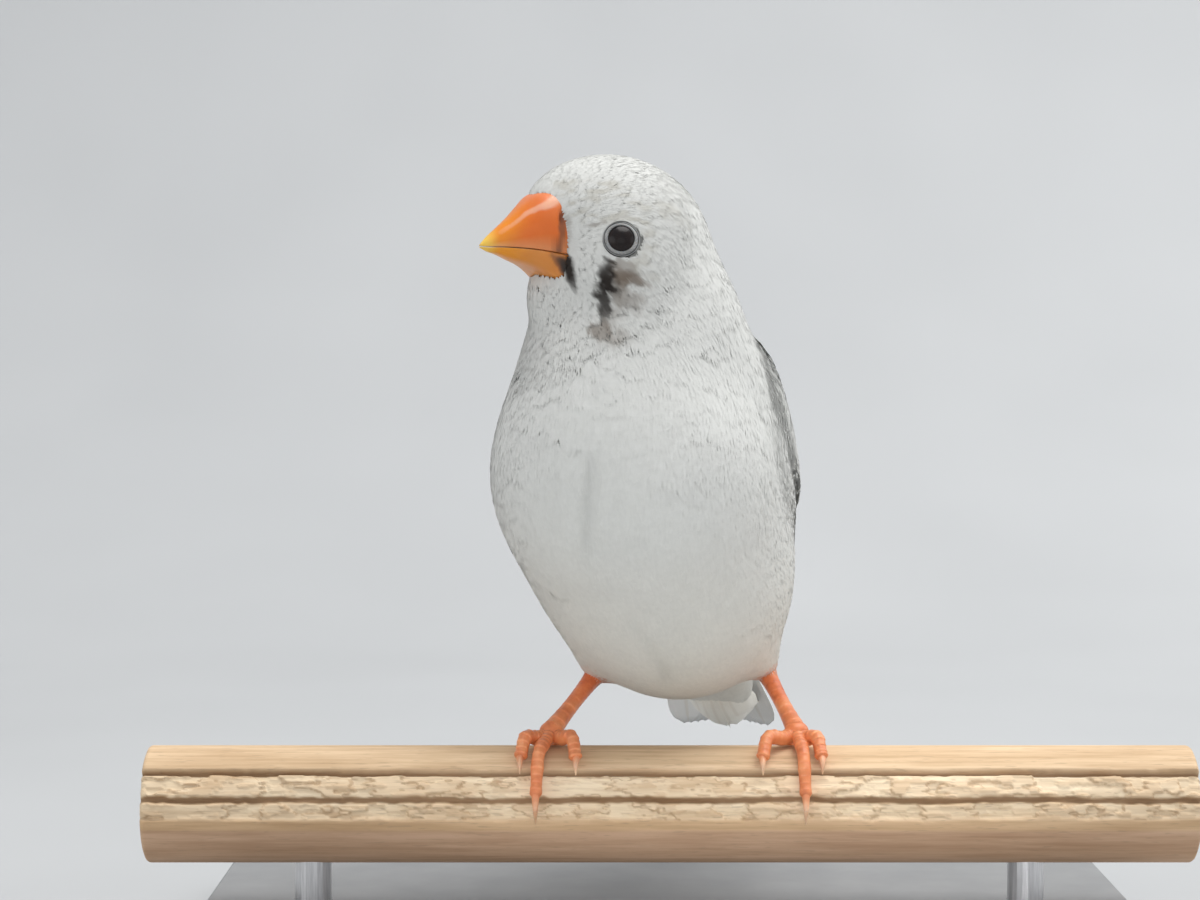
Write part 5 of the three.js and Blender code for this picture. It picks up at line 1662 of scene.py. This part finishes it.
def perch_piece():
    x = np.linspace(-PERCH_HALF, PERCH_HALF, PERCH_ROWS)[:, None] + np.zeros((1, PERCH_COLUMNS))
    turn = np.linspace(0, 360, PERCH_COLUMNS, endpoint=False)[None] + np.zeros((PERCH_ROWS, 1))
    spot = np.stack([x, 0.11 * turn, 0 * x], -1)
    wear = perch_wear(spot, turn)
    grooves, ribs, bite, flake = wear
    depth = 0.75 * grooves[0] + 0.8 * grooves[1]
    depth = depth + ribs * (0.08 + 0.34 * bite + 0.14 * flake)
    depth = depth + 0.03 * band((-5, 45), 2, turn) * noise(spot, 3.0, 15) + 0.04
    ends = np.minimum(PERCH_HALF - np.abs(x), END_ROUNDING)
    depth = depth + END_ROUNDING - np.sqrt(np.maximum(END_ROUNDING**2 - (END_ROUNDING - ends) ** 2, 0))
    radius, angle = PERCH_RADIUS - depth, np.radians(turn)
    points = np.stack([x - ORIGIN[0], -radius * np.sin(angle), radius * np.cos(angle) - PERCH_RADIUS], -1)
    closed, faces = capped(points)
    ends = vec(*WOOD["end"])[None].repeat(2, 0)
    tones = np.concatenate([perch_colour(spot, turn, *wear).reshape(-1, 3), ends])
    add_piece("perch_wood", closed, faces, perch_material(), tones, replaced=["perch"])


perch_piece()


# The stand keeps its solids, with finishes of their own.
def stand_materials():
    base = Nodes("StandLacquer")
    place = base.place()
    mottle = base.ramp(base.noise(place, 160.0, 4.0), (0.3, (0.25, 0.255, 0.26)), (0.7, (0.29, 0.293, 0.297)))
    base.set(colour=mottle, rough=0.5, specular=0.4)
    base.bump(base.noise(place, 2600.0, 2.0), 0.12, 0.00004)
    rod = Nodes("StandSteel")
    lines = rod.noise(rod.scaled(rod.place(), (6.0, 6.0, 0.4)), 900.0)
    brushed = rod.ramp(lines, (0.3, (0.55, 0.55, 0.56)), (0.7, (0.72, 0.72, 0.73)))
    rod.set(colour=brushed, metal=1.0, rough=0.32)
    rod.bump(lines, 0.1, 0.00003)
    return base.material, rod.material


lacquer, steel = stand_materials()
for name, material in (("stand_base", lacquer), ("stand_rod_right", steel), ("stand_rod_left", steel)):
    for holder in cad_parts[name].material_slots:
        holder.material = material


# The stage: a pale floor that curves up into a backdrop.
def stage():
    nodes = Nodes("Stage")
    cloud = nodes.noise(nodes.place(), 9.0, 2.0)
    grey = nodes.ramp(cloud, (0.3, (0.47, 0.48, 0.485)), (0.7, (0.5, 0.51, 0.515)))
    nodes.set(colour=grey, rough=0.9, specular=0.2)
    half, near, far, high, bend = 1.6, -1.5, 0.55, 1.5, 0.3
    turns = np.linspace(0.1, math.pi / 2, 12)
    curve = [(far - bend + bend * math.sin(t), bend - bend * math.cos(t)) for t in turns]
    profile = [(near, 0.0), (far - bend, 0.0), *curve, (far, high)]
    points = [(x, y, z) for y, z in profile for x in (-half, half)]
    faces = [(2 * i, 2 * i + 1, 2 * i + 3, 2 * i + 2) for i in range(len(profile) - 1)]
    mesh = bpy.data.meshes.new("floor")
    mesh.from_pydata(points, [], faces)
    mesh.polygons.foreach_set("use_smooth", [True] * len(faces))
    mesh.materials.append(nodes.material)
    floor = bpy.data.objects.new("floor", mesh)
    bpy.context.scene.collection.objects.link(floor)


stage()


def aimed(name, data, location, target):
    lamp = bpy.data.objects.new(name, data)
    lamp.location = location
    lamp.rotation_euler = (Vector(target) - Vector(location)).to_track_quat("-Z", "Y").to_euler()
    lamp.visible_camera = False
    bpy.context.scene.collection.objects.link(lamp)


# Round soft lamps in the part's frame, in metres: place, size, watts and colour. All face the bird's middle.
BIRD_MIDDLE = (0, 0, 0.06)
LAMPS = {
    "key": ((0.12, -0.03, 0.85), 0.7, 5.6, (1.0, 0.99, 0.97)),
    "fill": ((-0.8, -0.5, 0.12), 0.9, 2.1, (0.98, 0.985, 0.98)),
    "rim": ((0.5, 0.25, 0.5), 0.6, 1.6, (1.0, 1.0, 1.0)),
    "side": ((0.8, -0.2, 0.15), 0.6, 0.7, (1.0, 1.0, 1.0)),
    "front": ((0.0, -0.95, 0.1), 0.8, 0.7, (1.0, 0.99, 0.95)),
}
for name, (location, size, power, colour) in LAMPS.items():
    data = bpy.data.lights.new(name, "AREA")
    data.shape, data.size, data.energy, data.color = "DISK", size, power, colour
    aimed(name, data, location, BIRD_MIDDLE)

# A narrow soft lamp before the perch that lights the tail.
snoot = bpy.data.lights.new("snoot", "SPOT")
snoot.energy, snoot.spot_size, snoot.spot_blend, snoot.shadow_soft_size = 4.5, math.radians(7), 1.0, 0.035
aimed("snoot", snoot, (0.005, -0.33, 0.045), (TAIL.place(0, -34, -1) + ORIGIN) * MM)

world = bpy.data.worlds.new("Studio")
world.use_nodes = True
world.node_tree.nodes["Background"].inputs["Color"].default_value = (0.93, 0.95, 1.0, 1)
world.node_tree.nodes["Background"].inputs["Strength"].default_value = 0.58
bpy.context.scene.world = world
bpy.context.scene.view_settings.view_transform = "Standard"

SENSOR_WIDTH = 36.0
camera_data = bpy.data.cameras.new("camera")
camera_data.sensor_width = SENSOR_WIDTH
camera_data.lens = SENSOR_WIDTH * FOCAL / PHOTO_SIZE[0]
camera_data.clip_start, camera_data.clip_end = 0.01, 20.0
camera = bpy.data.objects.new("camera", camera_data)
camera.location = Vector((EYE_POINT + ORIGIN) * MM)
camera.rotation_euler = (math.radians(90 - CAMERA_DROP), 0, 0)
bpy.context.scene.collection.objects.link(camera)
bpy.context.scene.camera = camera
